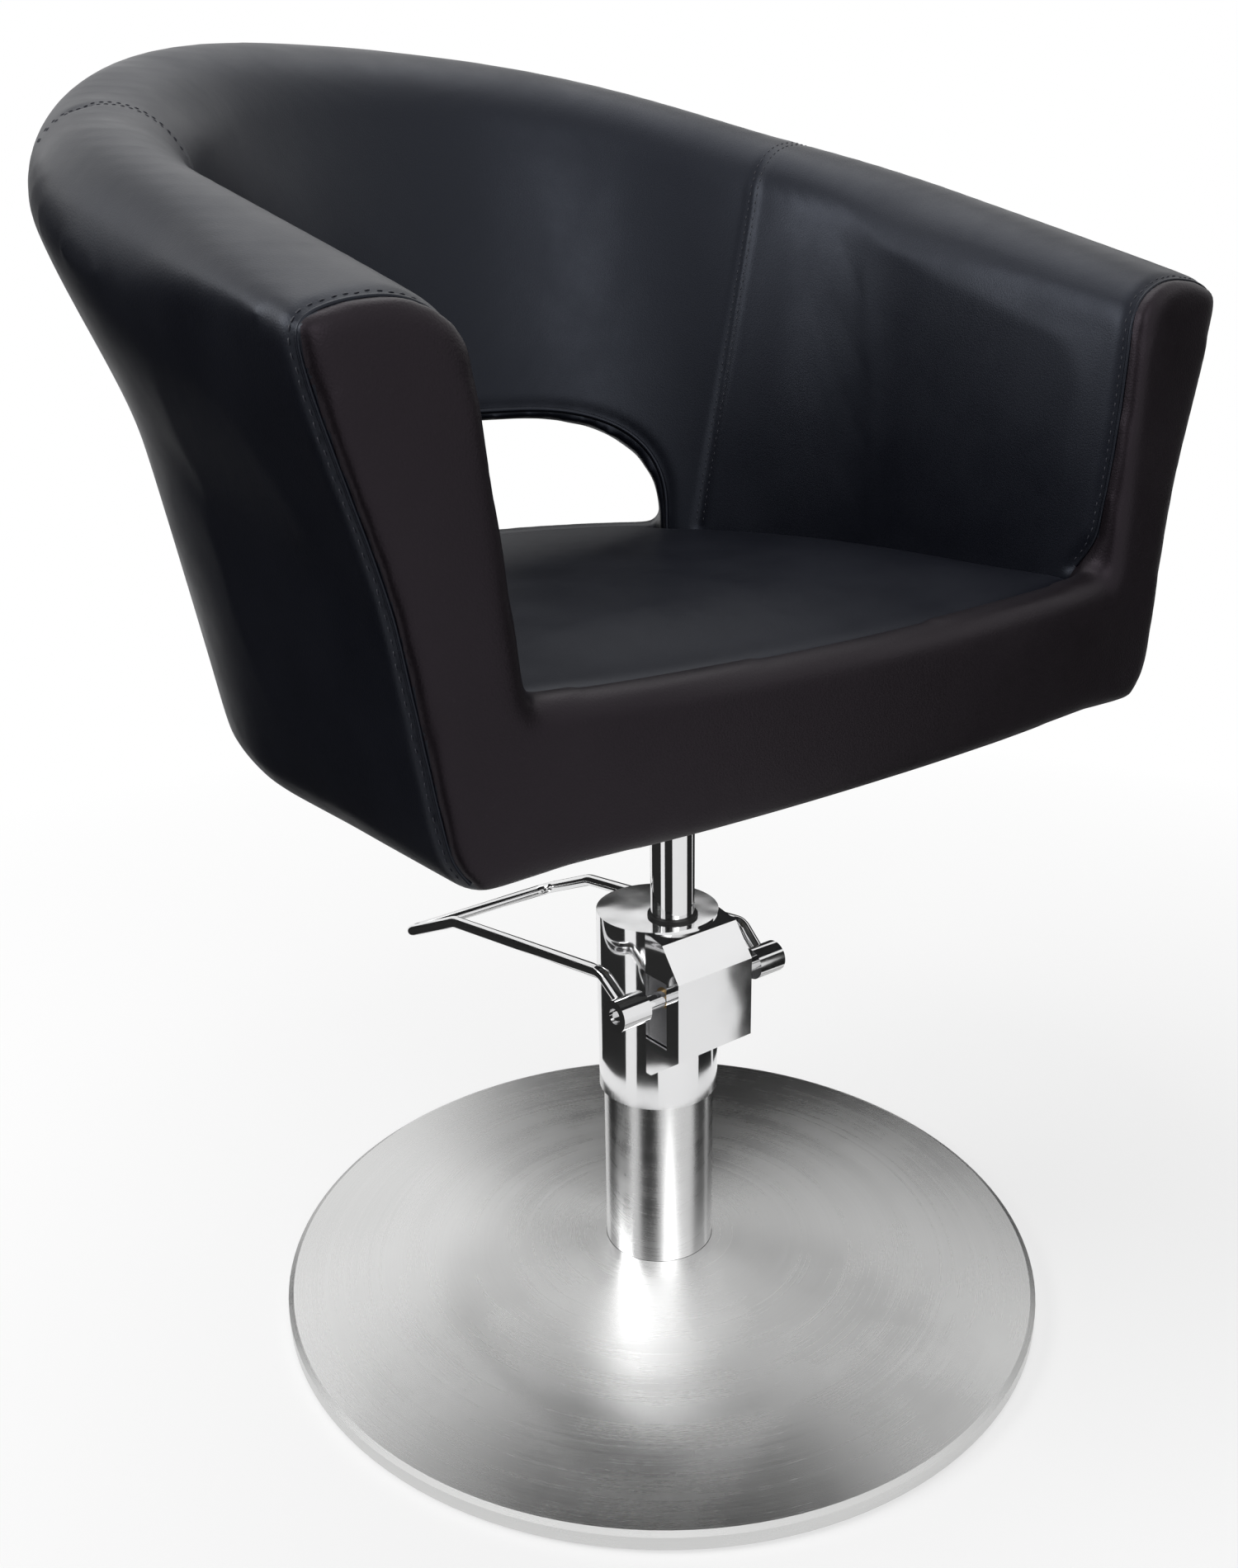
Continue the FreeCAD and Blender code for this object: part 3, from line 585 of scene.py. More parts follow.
def arch_wedge(tub, low, lip=2.5 * MM, far=0.6):
    """The arch as a tool that widens along the radii of the back, less the lip that smoothing takes."""
    tangent = math.tan(tub.sizes.opening_angle) - lip / ARCH_MIDDLE_Y
    loops = []
    for y in (0.1, far):
        half, flat = tangent * y, ARCH_FLAT * tangent * y
        shoulder = tub.sizes.opening_shoulder
        spring = tub.opening_top - shoulder - lip
        side = [(flat + (half - flat) * math.cos(turn), spring + shoulder * math.sin(turn))
                for turn in steps(0, math.pi / 2, 12)]
        outline = [(half, low)] + side + [(-x, z) for x, z in reversed(side)] + [(-half, low)]
        loops.append([Vector((x, y, z)) for x, z in outline])
    return lofted("arch_tool", loops)


def tongue_tool(tub, radius, low, high):
    """The room inside the outer skin that the seat runs through."""
    tangent, centre = math.tan(tub.sizes.opening_angle), tub.back_centre(low)
    span = math.atan(tangent) - 0.02
    arc = [Vector((radius * math.sin(a), centre + radius * math.cos(a), 0)) for a in steps(-span, span, 24)]
    outline = [Vector((-0.05, 0.06, 0))] + arc + [Vector((0.05, 0.06, 0))]
    return lofted("tongue_tool", [[Vector((p.x, p.y, z)) for p in outline] for z in (low, high)])


def wall_solid(tub):
    stations = steps(0, 1, 12) + steps(1, 3, 72)[1:] + steps(3, 4, 12)[1:]
    loops = []
    rounding = ((1.0, 8.0), (0.75, 3.2), (0.4, 0.9))
    front = tub.section(0)

    def end(sign):
        rings = []
        for share, depth in rounding:
            ahead = tub.sizes.panel_foam * share
            rings.append([Vector((sign * width, tub.front_line(z) - ahead, z))
                          for width, z in inset(front, depth * MM)])
        return rings

    loops += end(-1)
    for station in stations:
        loops.append([tub.place(station, width, z) for width, z in tub.section(station)])
    loops += reversed(end(1))
    return lofted("tub_upholstery", loops)


def front_band(tub):
    """The part of the front panel that crosses below the seat."""
    half, back = tub.sizes.half_width - 22 * MM, SEAT_FRONT - 1.5 * MM
    seat_half = tub.sizes.seat_half_width
    loops = []
    for x in steps(-half, half, 40):
        top, bottom = tub.ledge(min(max(x, -seat_half), seat_half)), tub.sill(x)
        ahead = tub.sizes.panel_foam + 2.5 * MM * (1 - (x / half) ** 2)
        roll, reach = 24 * MM, 17 * MM
        face = [(tub.front_line(z) - ahead, z) for z in steps(bottom + 6 * MM, top - roll, 8)]
        nose = face[-1][0]
        for turn in steps(0, math.pi / 2, 7)[1:]:
            face.append((nose + reach * (1 - math.cos(turn)), top - roll + roll * math.sin(turn)))
        outline = [(face[0][0] + 8 * MM, bottom)] + face + [(back, top), (back, bottom)]
        loops.append([Vector((x, y, z)) for y, z in outline])
    return lofted("front_band", loops)


def seat_solid(tub):
    """The seat cushion, with a tongue that runs out through the arch."""
    centre, low, top = tub.back_centre(BOARD_TOP), BOARD_TOP + 1.2 * MM, tub.seat - 3.5 * MM
    tangent = math.tan(tub.sizes.opening_angle)

    def outline(z):
        half = tub.inner_width(z) - 2.2 * MM
        points = [(-half, SEAT_FRONT), (half, SEAT_FRONT)]
        points += [(half, y) for y in steps(SEAT_FRONT, centre, 8)[1:-1]]
        for turn in steps(0, math.pi, 91):
            x, y = half * math.cos(turn), centre + half * math.sin(turn)
            if y > 0 and abs(x) < tangent * y - 4 * MM:
                x, y = TONGUE_REACH * math.cos(turn), centre + TONGUE_REACH * math.sin(turn)
                limit = tangent * y - 3 * MM
                x = min(max(x, -limit), limit)
            points.append((x, y))
        points += [(-half, y) for y in steps(centre, SEAT_FRONT, 8)[1:-1]]
        return points

    loops = [[Vector((x, y, z)) for x, y in outline(z)] for z in steps(low, top, 5)]
    return lofted("seat_upholstery", loops)


def crown_seat(obj, tub):
    """Raise the middle of the seat and ease its front down to the ledge."""
    for vertex in obj.data.vertices:
        x, y, z = vertex.co
        if z < tub.seat - 25 * MM:
            continue
        half = tub.inner_width(tub.seat)
        across = 1 - min(abs(x) / half, 1.0) ** 4
        deep = ease((y - SEAT_FRONT) / 0.12) * (1 - 0.5 * ease((y - 0.10) / 0.15))
        front_drop = (tub.seat - tub.ledge(min(max(x, -half), half))) * (1 - ease((y - SEAT_FRONT) / 0.09))
        vertex.co.z += 4.5 * MM * across * deep - front_drop


class CHAIR_OT_tub(bpy.types.Operator):
    """Upholster the tub: outer skin, roll, inner faces and the front panel"""
    bl_idname = "chair.tub"
    bl_label = "Upholster the Tub"

    def execute(self, context):
        tub, sizes = Tub(context.scene.chair_tub), context.scene.chair_upholstery
        body = wall_solid(tub)
        carve(body, arch_wedge(tub, tub.seat - 3 * MM))
        carve(body, tongue_tool(tub, TONGUE_ROOM, BOARD_TOP - 10 * MM, tub.seat + 5 * MM))
        join(body, front_band(tub))
        remesh(body, cell_size(sizes), 5)
        right = front_seam(tub)
        edges = [right, mirrored(right), seat_front_seam(tub)]
        sides = [side_seam(tub), mirrored(side_seam(tub))]
        arches = [arch_path(tub, tub.inner_width, 8 * MM, tub.seat - 2 * MM),
                  arch_path(tub, lambda z: tub.outer_width(z, 2), 8 * MM, tub.seat - 2 * MM)]
        fine = [spaced(path, 2 * MM) for path in edges + sides + arches]
        swell(body, sizes, fine)
        refine(body)
        pull_in(body, fine[:2], sizes.seam_depth, sizes.seam_width)
        pull_in(body, fine[3:5], 0.8 * sizes.seam_depth, 0.8 * sizes.seam_width)
        pull_in(body, fine[5:], 0.6 * sizes.seam_depth, sizes.seam_width)

        seat_half = tub.sizes.seat_half_width

        def in_front(point):
            side = abs(point.x)
            width = min(max(side, tub.inner_width(point.z)), tub.outer_width(point.z))
            on_band = point.z < tub.ledge(min(side, seat_half - 6 * MM)) + 4 * MM
            below = on_band and side < seat_half - 3 * MM
            setback = BAND_SETBACK if below else tub.seam_setback(width, point.z)
            return point.y < tub.front_line(point.z) + setback

        front = keep_faces(body, "front_upholstery", in_front)
        rest = keep_faces(body, "tub_skin", lambda point: not in_front(point))
        bpy.data.objects.remove(body)
        rest.name = "tub_upholstery"
        finished(rest, bpy.data.materials["black_leather"])
        finished(front, bpy.data.materials["front_leather"])
        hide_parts("outer_cover", "top_roll", "inner_arm_pad_left", "inner_arm_pad_right",
                    "inner_back_pad")
        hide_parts("front_panel")
        return {"FINISHED"}


class CHAIR_OT_seat(bpy.types.Operator):
    """Upholster the seat cushion"""
    bl_idname = "chair.seat"
    bl_label = "Upholster the Seat"

    def execute(self, context):
        tub, sizes = Tub(context.scene.chair_tub), context.scene.chair_upholstery
        seat = seat_solid(tub)
        remesh(seat, cell_size(sizes), 4)
        crown_seat(seat, tub)
        swell(seat, sizes, [spaced(seat_front_seam(tub), 2 * MM)], hold=10 * MM)
        for vertex in seat.data.vertices:
            limit = tub.inner_width(vertex.co.z) - 0.8 * MM
            out = Vector((vertex.co.x, max(vertex.co.y - tub.back_centre(vertex.co.z), 0.0), 0))
            in_arch = vertex.co.y > 0.1 and abs(vertex.co.x) < math.tan(tub.sizes.opening_angle) * vertex.co.y
            if out.length > limit and not in_arch:
                back = out * (1 - limit / out.length)
                vertex.co -= Vector((back.x, back.y, 0))
            vertex.co.z = max(vertex.co.z, BOARD_TOP + 0.6 * MM)
            vertex.co.y = max(vertex.co.y, SEAT_FRONT - 0.8 * MM)
        refine(seat)
        finished(seat, bpy.data.materials["black_leather"])
        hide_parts("seat_cushion")
        return {"FINISHED"}


class CHAIR_OT_seams(bpy.types.Operator):
    """Sew the seams: welts, piping and stitches laid on the leather"""
    bl_idname = "chair.seams"
    bl_label = "Sew the Seams"

    def execute(self, context):
        tub, sizes = Tub(context.scene.chair_tub), context.scene.chair_upholstery
        objects = bpy.data.objects
        skin = surface_of(objects["tub_upholstery"], objects["front_upholstery"])
        seat = surface_of(objects["seat_upholstery"], objects["front_upholstery"])
        leather, thread = bpy.data.materials["welt_leather"], bpy.data.materials["thread"]
        right = front_seam(tub)
        side = side_seam(tub)
        for name, path in (("front_welt_right", right), ("front_welt_left", mirrored(right))):
            laid = on_surface(skin, spaced(path, 4 * MM), 0.2 * MM)
            finished(tube(name, eased([p for p, _ in laid]), sizes.welt), leather)
        arches = (("arch_piping_inner", tub.inner_width),
                  ("arch_piping_outer", lambda z: tub.outer_width(z, 2)))
        for name, width_of in arches:
            path = arch_path(tub, width_of, 6 * MM, tub.seat - 1 * MM)
            laid = on_surface(skin, spaced(path, 5 * MM), 0.4 * MM)
            finished(tube(name, eased([p for p, _ in laid]), sizes.piping), leather)
        rows = [("front_stitches_right", right, skin, (4 * MM,)),
                ("front_stitches_left", mirrored(right), skin, (-4 * MM,)),
                ("side_stitches_right", side, skin, (-3 * MM, 3 * MM)),
                ("side_stitches_left", mirrored(side), skin, (-3 * MM, 3 * MM)),
                ("seat_front_stitches", seat_front_seam(tub), seat, (4.5 * MM,))]
        for name, path, surface, offsets in rows:
            work = bmesh.new()
            line = eased(spaced(path, sizes.stitch_pitch), 2)
            laid = on_surface(surface, line)
            for offset in offsets:
                beside = [place + normal.cross(ahead).normalized() * offset
                          for (place, normal), ahead in zip(laid, headings([p for p, _ in laid]))]
                stitch_row(work, on_surface(surface, beside, 0.15 * MM), sizes)
            finished(from_bmesh(name, work), thread)
        return {"FINISHED"}


def headings(path):
    """Direction of travel at each point of a path."""
    count = len(path)
    return [(path[min(i + 1, count - 1)] - path[max(i - 1, 0)]).normalized() for i in range(count)]


# ---------------------------------------------------------------- shared shader groups

def group(name, inputs, outputs):
    """An empty node group with named float inputs and outputs."""
    tree = bpy.data.node_groups.new(name, "ShaderNodeTree")
    for label, default in inputs:
        socket = tree.interface.new_socket(label, in_out="INPUT", socket_type="NodeSocketFloat")
        socket.default_value = default
    for label in outputs:
        tree.interface.new_socket(label, in_out="OUTPUT", socket_type="NodeSocketFloat")
    return tree, tree.nodes.new("NodeGroupInput"), tree.nodes.new("NodeGroupOutput")


def node(tree, kind, **settings):
    made = tree.nodes.new("ShaderNode" + kind)
    for key, setting in settings.items():
        setattr(made, key, setting)
    return made


def wire(tree, source, target):
    tree.links.new(source, target)


def feed(tree, made, **values):
    """Set or link inputs by name, with spaces written as underscores."""
    for label, given in values.items():
        socket = made.inputs[int(label[1:])] if label[0] == "i" and label[1:].isdigit() else \
            made.inputs[label.replace("_", " ")]
        if isinstance(given, bpy.types.NodeSocket):
            wire(tree, given, socket)
        else:
            socket.default_value = given
    return made


def calc(tree, operation, first, second=0.0, third=None, clamp=False):
    made = node(tree, "Math", operation=operation, use_clamp=clamp)
    feed(tree, made, i0=first, i1=second)
    if third is not None:
        feed(tree, made, i2=third)
    return made.outputs[0]


def place_of(tree):
    return node(tree, "TexCoord").outputs["Object"]


def noise(tree, scale, detail=3.0, rough=0.5, at=None):
    made = node(tree, "TexNoise")
    feed(tree, made, Vector=at or place_of(tree), Scale=scale, Detail=detail, Roughness=rough)
    return made.outputs["Fac"]


def make_pebble_grain():
    """Leatherette grain: rounded pebbles with fine creases between them."""
    tree, given, put = group("pebble_grain", [("Scale", 900.0), ("Crease", 1.0)], ["Height", "Pebbles"])
    cells = node(tree, "TexVoronoi", feature="SMOOTH_F1")
    warp = noise(tree, 160.0, 2.0)
    shifted = node(tree, "VectorMath", operation="MULTIPLY_ADD")
    feed(tree, shifted, i0=warp, i1=(0.0022, 0.0022, 0.0022), i2=place_of(tree))
    feed(tree, cells, Vector=shifted.outputs[0], Scale=given.outputs["Scale"], Smoothness=0.35)
    dome = calc(tree, "SUBTRACT", 1.0, cells.outputs["Distance"])
    crease = calc(tree, "MULTIPLY", noise(tree, 2600.0, 2.0), given.outputs["Crease"])
    wire(tree, calc(tree, "MULTIPLY_ADD", crease, 0.35, dome), put.inputs["Height"])
    wire(tree, calc(tree, "SMOOTH_MAX", dome, 0.25, 0.2), put.inputs["Pebbles"])


def make_stretch_marks():
    """Long shallow ripples of a cover pulled over foam."""
    tree, given, put = group("stretch_marks", [("Scale", 9.0), ("Fine", 60.0)], ["Height", "Mask"])
    broad = noise(tree, given.outputs["Scale"], 2.0, 0.45)
    mapped = node(tree, "Mapping")
    feed(tree, mapped, Vector=place_of(tree), Scale=(1.0, 1.0, 0.35))
    fine = noise(tree, given.outputs["Fine"], 4.0, 0.6, mapped.outputs[0])
    mask = node(tree, "MapRange")
    feed(tree, mask, Value=broad, From_Min=0.45, From_Max=0.65)
    wire(tree, calc(tree, "MULTIPLY_ADD", fine, calc(tree, "MULTIPLY", mask.outputs[0], 0.35), broad),
         put.inputs["Height"])
    wire(tree, mask.outputs[0], put.inputs["Mask"])


def make_handling():
    """Faint smears and dust, as a value between Low and High."""
    tree, given, put = group("handling", [("Scale", 14.0), ("Low", 0.05), ("High", 0.12)], ["Value", "Dust"])
    smear = noise(tree, given.outputs["Scale"], 5.0, 0.62)
    spread = node(tree, "MapRange")
    feed(tree, spread, Value=smear, From_Min=0.3, From_Max=0.7, To_Min=given.outputs["Low"],
         To_Max=given.outputs["High"])
    wire(tree, spread.outputs[0], put.inputs["Value"])
    dust = node(tree, "MapRange")
    feed(tree, dust, Value=noise(tree, 420.0, 2.0), From_Min=0.66, From_Max=0.78)
    wire(tree, dust.outputs[0], put.inputs["Dust"])


def make_edge_wear():
    """1 on worn convex edges, broken up by noise."""
    tree, given, put = group("edge_wear", [("Amount", 0.5), ("Scale", 90.0)], ["Mask"])
    bend = node(tree, "NewGeometry").outputs["Pointiness"]
    edge = node(tree, "MapRange")
    feed(tree, edge, Value=bend, From_Min=0.53, From_Max=0.62)
    broken = calc(tree, "MULTIPLY", edge.outputs[0], noise(tree, given.outputs["Scale"], 4.0, 0.65))
    wire(tree, calc(tree, "MULTIPLY", broken, given.outputs["Amount"], clamp=True), put.inputs["Mask"])


def make_turning_lines():
    """Fine circles left by turning or spinning about the upright through the origin, or through Offset."""
    tree, given, put = group("turning_lines", [("Pitch", 900.0), ("Offset", 0.0)], ["Value", "Height"])
    split = node(tree, "SeparateXYZ")
    wire(tree, place_of(tree), split.inputs[0])
    along = calc(tree, "SUBTRACT", split.outputs["Y"], given.outputs["Offset"])
    square = calc(tree, "MULTIPLY_ADD", along, along, calc(tree, "MULTIPLY", split.outputs["X"],
                                                          split.outputs["X"]))
    joined = node(tree, "CombineXYZ")
    feed(tree, joined, X=calc(tree, "SQRT", square), Y=calc(tree, "MULTIPLY", split.outputs["Z"], 1.0))
    fine = noise(tree, given.outputs["Pitch"], 6.0, 0.72, joined.outputs[0])
    broad = noise(tree, 38.0, 3.0, 0.6, joined.outputs[0])
    wire(tree, calc(tree, "MULTIPLY_ADD", broad, 0.35, calc(tree, "MULTIPLY", fine, 0.65)),
         put.inputs["Value"])
    wire(tree, fine, put.inputs["Height"])


def make_wood_grain():
    """Growth rings stretched along X."""
    tree, given, put = group("wood_grain", [("Rings", 34.0), ("Stretch", 0.12)], ["Value", "Height"])
    squeezed = node(tree, "Mapping")
    scale = node(tree, "CombineXYZ")
    feed(tree, scale, X=given.outputs["Stretch"], Y=1.0, Z=1.0)
    feed(tree, squeezed, Vector=place_of(tree), Scale=scale.outputs[0])
    rings = node(tree, "TexWave", wave_type="BANDS", bands_direction="Y")
    feed(tree, rings, Vector=squeezed.outputs[0], Scale=given.outputs["Rings"], Distortion=5.0, Detail=3.0)
    pores = noise(tree, 420.0, 3.0, 0.6, squeezed.outputs[0])
    wire(tree, calc(tree, "MULTIPLY_ADD", pores, 0.4, calc(tree, "MULTIPLY", rings.outputs["Fac"], 0.6)),
         put.inputs["Value"])
    wire(tree, pores, put.inputs["Height"])


def make_weave():
    """Crossing threads of a cloth."""
    tree, given, put = group("weave", [("Threads", 900.0)], ["Height"])
    waves = []
    for direction in ("X", "Y"):
        wave = node(tree, "TexWave", wave_type="BANDS", bands_direction=direction)
        feed(tree, wave, Vector=place_of(tree), Scale=given.outputs["Threads"], Distortion=0.6)
        waves.append(wave.outputs["Fac"])
    wire(tree, calc(tree, "MAXIMUM", *waves), put.inputs["Height"])


# ---------------------------------------------------------------- materials

def blank(name):
    material = bpy.data.materials.get(name) or bpy.data.materials.new(name)
    material.use_nodes = True
    return material, material.node_tree, material.node_tree.nodes["Principled BSDF"]


def use(tree, name, **values):
    placed = tree.nodes.new("ShaderNodeGroup")
    placed.node_tree = bpy.data.node_groups[name]
    feed(tree, placed, **values)
    return placed.outputs


def mixed(tree, share, first, second):
    made = node(tree, "Mix", data_type="RGBA")
    for socket, given in ((made.inputs["Factor"], share), (made.inputs[6], first), (made.inputs[7], second)):
        if isinstance(given, bpy.types.NodeSocket):
            wire(tree, given, socket)
        else:
            socket.default_value = given if isinstance(given, float) else (*given[:3], 1.0)
    return made.outputs[2]


def bumped(tree, shader, height, strength, distance):
    bump = node(tree, "Bump")
    before = shader.inputs["Normal"].links[0].from_socket if shader.inputs["Normal"].is_linked else None
    if before:
        wire(tree, before, bump.inputs["Normal"])
    feed(tree, bump, Height=height, Strength=strength, Distance=distance)
    wire(tree, bump.outputs[0], shader.inputs["Normal"])


def tinted(base, factor):
    return tuple(min(channel * factor, 1.0) for channel in base)


def leather(name, base, rough=0.40, grain=900.0, depth=0.22, tint=(0.76, 0.83, 1.0)):
    material, tree, shader = blank(name)
    pebble = use(tree, "pebble_grain", Scale=grain)
    marks = use(tree, "stretch_marks")
    wear = use(tree, "handling", Scale=11.0, Low=rough - 0.05, High=rough + 0.07)
    tone = mixed(tree, pebble["Pebbles"], tinted(base, 0.72), tinted(base, 1.12))
    wire(tree, mixed(tree, calc(tree, "MULTIPLY", wear["Dust"], 0.04), tone, (0.09, 0.09, 0.095)),
         shader.inputs["Base Color"])
    wire(tree, wear["Value"], shader.inputs["Roughness"])
    shader.inputs["Specular IOR Level"].default_value = 0.3
    shader.inputs["Specular Tint"].default_value = (*tint, 1.0)
    bumped(tree, shader, marks["Height"], 0.10, 3.0 * MM)
    bumped(tree, shader, pebble["Height"], depth, 0.22 * MM)
    return material


def cotton(name, base):
    material, tree, shader = blank(name)
    twist = noise(tree, 2400.0, 2.0)
    wire(tree, mixed(tree, twist, tinted(base, 0.7), tinted(base, 1.5)), shader.inputs["Base Color"])
    shader.inputs["Roughness"].default_value = 0.5
    bumped(tree, shader, twist, 0.4, 0.1 * MM)
    return material


def plated(name, base, low, high, smear=14.0, ripple=0.0):
    """Bright plating with faint smears; ripple is the waviness of a cast or pressed part."""
    material, tree, shader = blank(name)
    wear = use(tree, "handling", Scale=smear, Low=low, High=high)
    edge = use(tree, "edge_wear", Amount=0.25)
    wire(tree, mixed(tree, edge["Mask"], base, tinted(base, 0.8)), shader.inputs["Base Color"])
    wire(tree, wear["Value"], shader.inputs["Roughness"])
    shader.inputs["Metallic"].default_value = 1.0
    if ripple:
        bumped(tree, shader, noise(tree, 22.0, 1.0), ripple, 3 * MM)
    return material


def spun(name, base, low, high, pitch, anisotropy=0.0, offset=0.0, relief=0.10):
    """Metal with circular turning lines; anisotropy stretches its highlights across them."""
    material, tree, shader = blank(name)
    lines = use(tree, "turning_lines", Pitch=pitch, Offset=offset)
    smear = use(tree, "handling", Scale=7.0, Low=-0.03, High=0.05)
    wire(tree, mixed(tree, lines["Value"], tinted(base, 0.88), tinted(base, 1.08)),
         shader.inputs["Base Color"])
    spread = node(tree, "MapRange")
    feed(tree, spread, Value=lines["Value"], From_Min=0.3, From_Max=0.7, To_Min=low, To_Max=high)
    wire(tree, calc(tree, "ADD", spread.outputs[0], smear["Value"]), shader.inputs["Roughness"])
    shader.inputs["Metallic"].default_value = 1.0
    if anisotropy:
        shader.inputs["Anisotropic"].default_value = anisotropy
        tangent = node(tree, "Tangent", direction_type="RADIAL", axis="Z")
        wire(tree, tangent.outputs[0], shader.inputs["Tangent"])
    bumped(tree, shader, lines["Height"], relief, 0.05 * MM)
    return material


def coated(name, base, rough, grain, worn, metal=0.0):
    """Paint, powder coat, casting or rubber: a fine skin that is worn at its edges."""
    material, tree, shader = blank(name)
    speck = noise(tree, grain, 4.0, 0.6)
    edge = use(tree, "edge_wear", Amount=0.8)
    tone = mixed(tree, speck, tinted(base, 0.8), tinted(base, 1.2))
    wire(tree, mixed(tree, edge["Mask"], tone, worn), shader.inputs["Base Color"])
    wear = use(tree, "handling", Scale=18.0, Low=rough - 0.06, High=rough + 0.08)
    wire(tree, wear["Value"], shader.inputs["Roughness"])
    shader.inputs["Metallic"].default_value = metal
    bumped(tree, shader, speck, 0.35, 0.15 * MM)
    return material


def wooden(name, light, dark):
    material, tree, shader = blank(name)
    grain = use(tree, "wood_grain")
    wire(tree, mixed(tree, grain["Value"], dark, light), shader.inputs["Base Color"])
    shader.inputs["Roughness"].default_value = 0.62
    bumped(tree, shader, grain["Height"], 0.3, 0.3 * MM)
    return material


def woven(name, base):
    material, tree, shader = blank(name)
    threads = use(tree, "weave")
    wire(tree, mixed(tree, threads["Height"], tinted(base, 0.5), tinted(base, 1.5)),
         shader.inputs["Base Color"])
    shader.inputs["Roughness"].default_value = 0.85
    bumped(tree, shader, threads["Height"], 0.5, 0.2 * MM)
    return material


class CHAIR_OT_finishes(bpy.types.Operator):
    """Mix every finish and put it on the metal, rubber and timber pieces"""
    bl_idname = "chair.finishes"
    bl_label = "Apply the Finishes"

    def execute(self, context):
        shades = context.scene.chair_colours
        for build in (make_pebble_grain, make_stretch_marks, make_handling, make_edge_wear,
                      make_turning_lines, make_wood_grain, make_weave):
            build()
        chrome, rubber = tuple(shades.chrome), tuple(shades.rubber)
        finishes = {
            "black_leather": leather("black_leather", tuple(shades.leather)),
            "front_leather": leather("front_leather", tuple(shades.front_leather), 0.42, 760.0, 0.4,
                                     (0.80, 0.68, 0.80)),
            "brushed_cover": spun("brushed_cover", tuple(shades.spun_steel), 0.22, 0.31, 420.0, 0.85,
                                  relief=0.02),
            "chrome_tube": plated("chrome_tube", chrome, 0.02, 0.06),
            "chrome_head": plated("chrome_head", chrome, 0.05, 0.10, 20.0, 0.10),
            "chrome_ram": plated("chrome_ram", tinted(chrome, 0.95), 0.03, 0.07, 30.0),
            "chrome_lever": plated("chrome_lever", tinted(chrome, 0.93), 0.05, 0.13, 34.0),
            "pump_steel": spun("pump_steel", (0.42, 0.42, 0.43), 0.22, 0.38, 700.0, 0.0, RAM_AXIS_Y),
            "spring_steel": plated("spring_steel", (0.33, 0.33, 0.35), 0.25, 0.4),
            "zinc_fastener": plated("zinc_fastener", (0.60, 0.60, 0.57), 0.25, 0.42, 60.0),
            "bronze": spun("bronze", (0.56, 0.38, 0.18), 0.25, 0.4, 800.0, 0.0, RAM_AXIS_Y),
            "pump_casting": coated("pump_casting", (0.23, 0.23, 0.24), 0.5, 700.0, (0.5, 0.5, 0.5), 0.9),
            "base_steel": coated("base_steel", (0.04, 0.04, 0.042), 0.45, 900.0, (0.3, 0.3, 0.3)),
            "black_steel": coated("black_steel", (0.03, 0.03, 0.03), 0.5, 1100.0, (0.25, 0.25, 0.25)),
            "floor_rubber": coated("floor_rubber", rubber, 0.75, 600.0, (0.06, 0.06, 0.06)),
            "seal_rubber": coated("seal_rubber", tinted(rubber, 0.8), 0.5, 900.0, (0.04, 0.04, 0.04)),
            "plywood": wooden("plywood", (0.66, 0.48, 0.30), (0.45, 0.29, 0.15)),
            "timber": wooden("timber", (0.62, 0.44, 0.26), (0.40, 0.25, 0.12)),
            "dust_cloth": woven("dust_cloth", (0.03, 0.03, 0.032)),
        }
        leather("welt_leather", tinted(tuple(shades.leather), 0.95), 0.36, 1400.0, 0.25)
        cotton("thread", tuple(shades.thread))
        for part in frame["record"]["subparts"]:
            shown = frame["nodes"][part["node"]]
            shown.data.materials.clear()
            shown.data.materials.append(finishes[part["material_slot"]])
        return {"FINISHED"}


# ---------------------------------------------------------------- stage

def emitting(tree, strength, shade_of=(1.0, 1.0, 1.0)):
    made = node(tree, "Emission")
    feed(tree, made, Strength=strength)
    made.inputs["Color"].default_value = (*shade_of, 1.0)
    return made


def seen_directly(tree):
    """1 for the rays that find the white background: the camera's, and those off metal or through glass."""
    path = node(tree, "LightPath")
    outward = calc(tree, "MAXIMUM", path.outputs["Is Camera Ray"], path.outputs["Is Transmission Ray"])
    return calc(tree, "MAXIMUM", outward, path.outputs["Is Glossy Ray"])


def floor_material():
    """White paper that keeps the shadow near the chair."""
    material, tree, shader = blank("white_floor")
    shader.inputs["Base Color"].default_value = (0.42, 0.42, 0.42, 1.0)
    shader.inputs["Roughness"].default_value = 1.0
    shader.inputs["Specular IOR Level"].default_value = 0.0
    lit = node(tree, "AddShader")
    feed(tree, lit, i0=shader.outputs[0], i1=emitting(tree, 0.62).outputs[0])
    span = node(tree, "VectorMath", operation="LENGTH")
    wire(tree, place_of(tree), span.inputs[0])
    near = node(tree, "MapRange")
    feed(tree, near, Value=span.outputs["Value"], From_Min=0.55, From_Max=1.5)
    paper = node(tree, "MixShader")
    feed(tree, paper, i0=near.outputs[0], i1=lit.outputs[0], i2=emitting(tree, 1.0).outputs[0])
    chosen = node(tree, "MixShader")
    feed(tree, chosen, i0=seen_directly(tree), i1=shader.outputs[0], i2=paper.outputs[0])
    wire(tree, chosen.outputs[0], tree.nodes["Material Output"].inputs["Surface"])
    return material


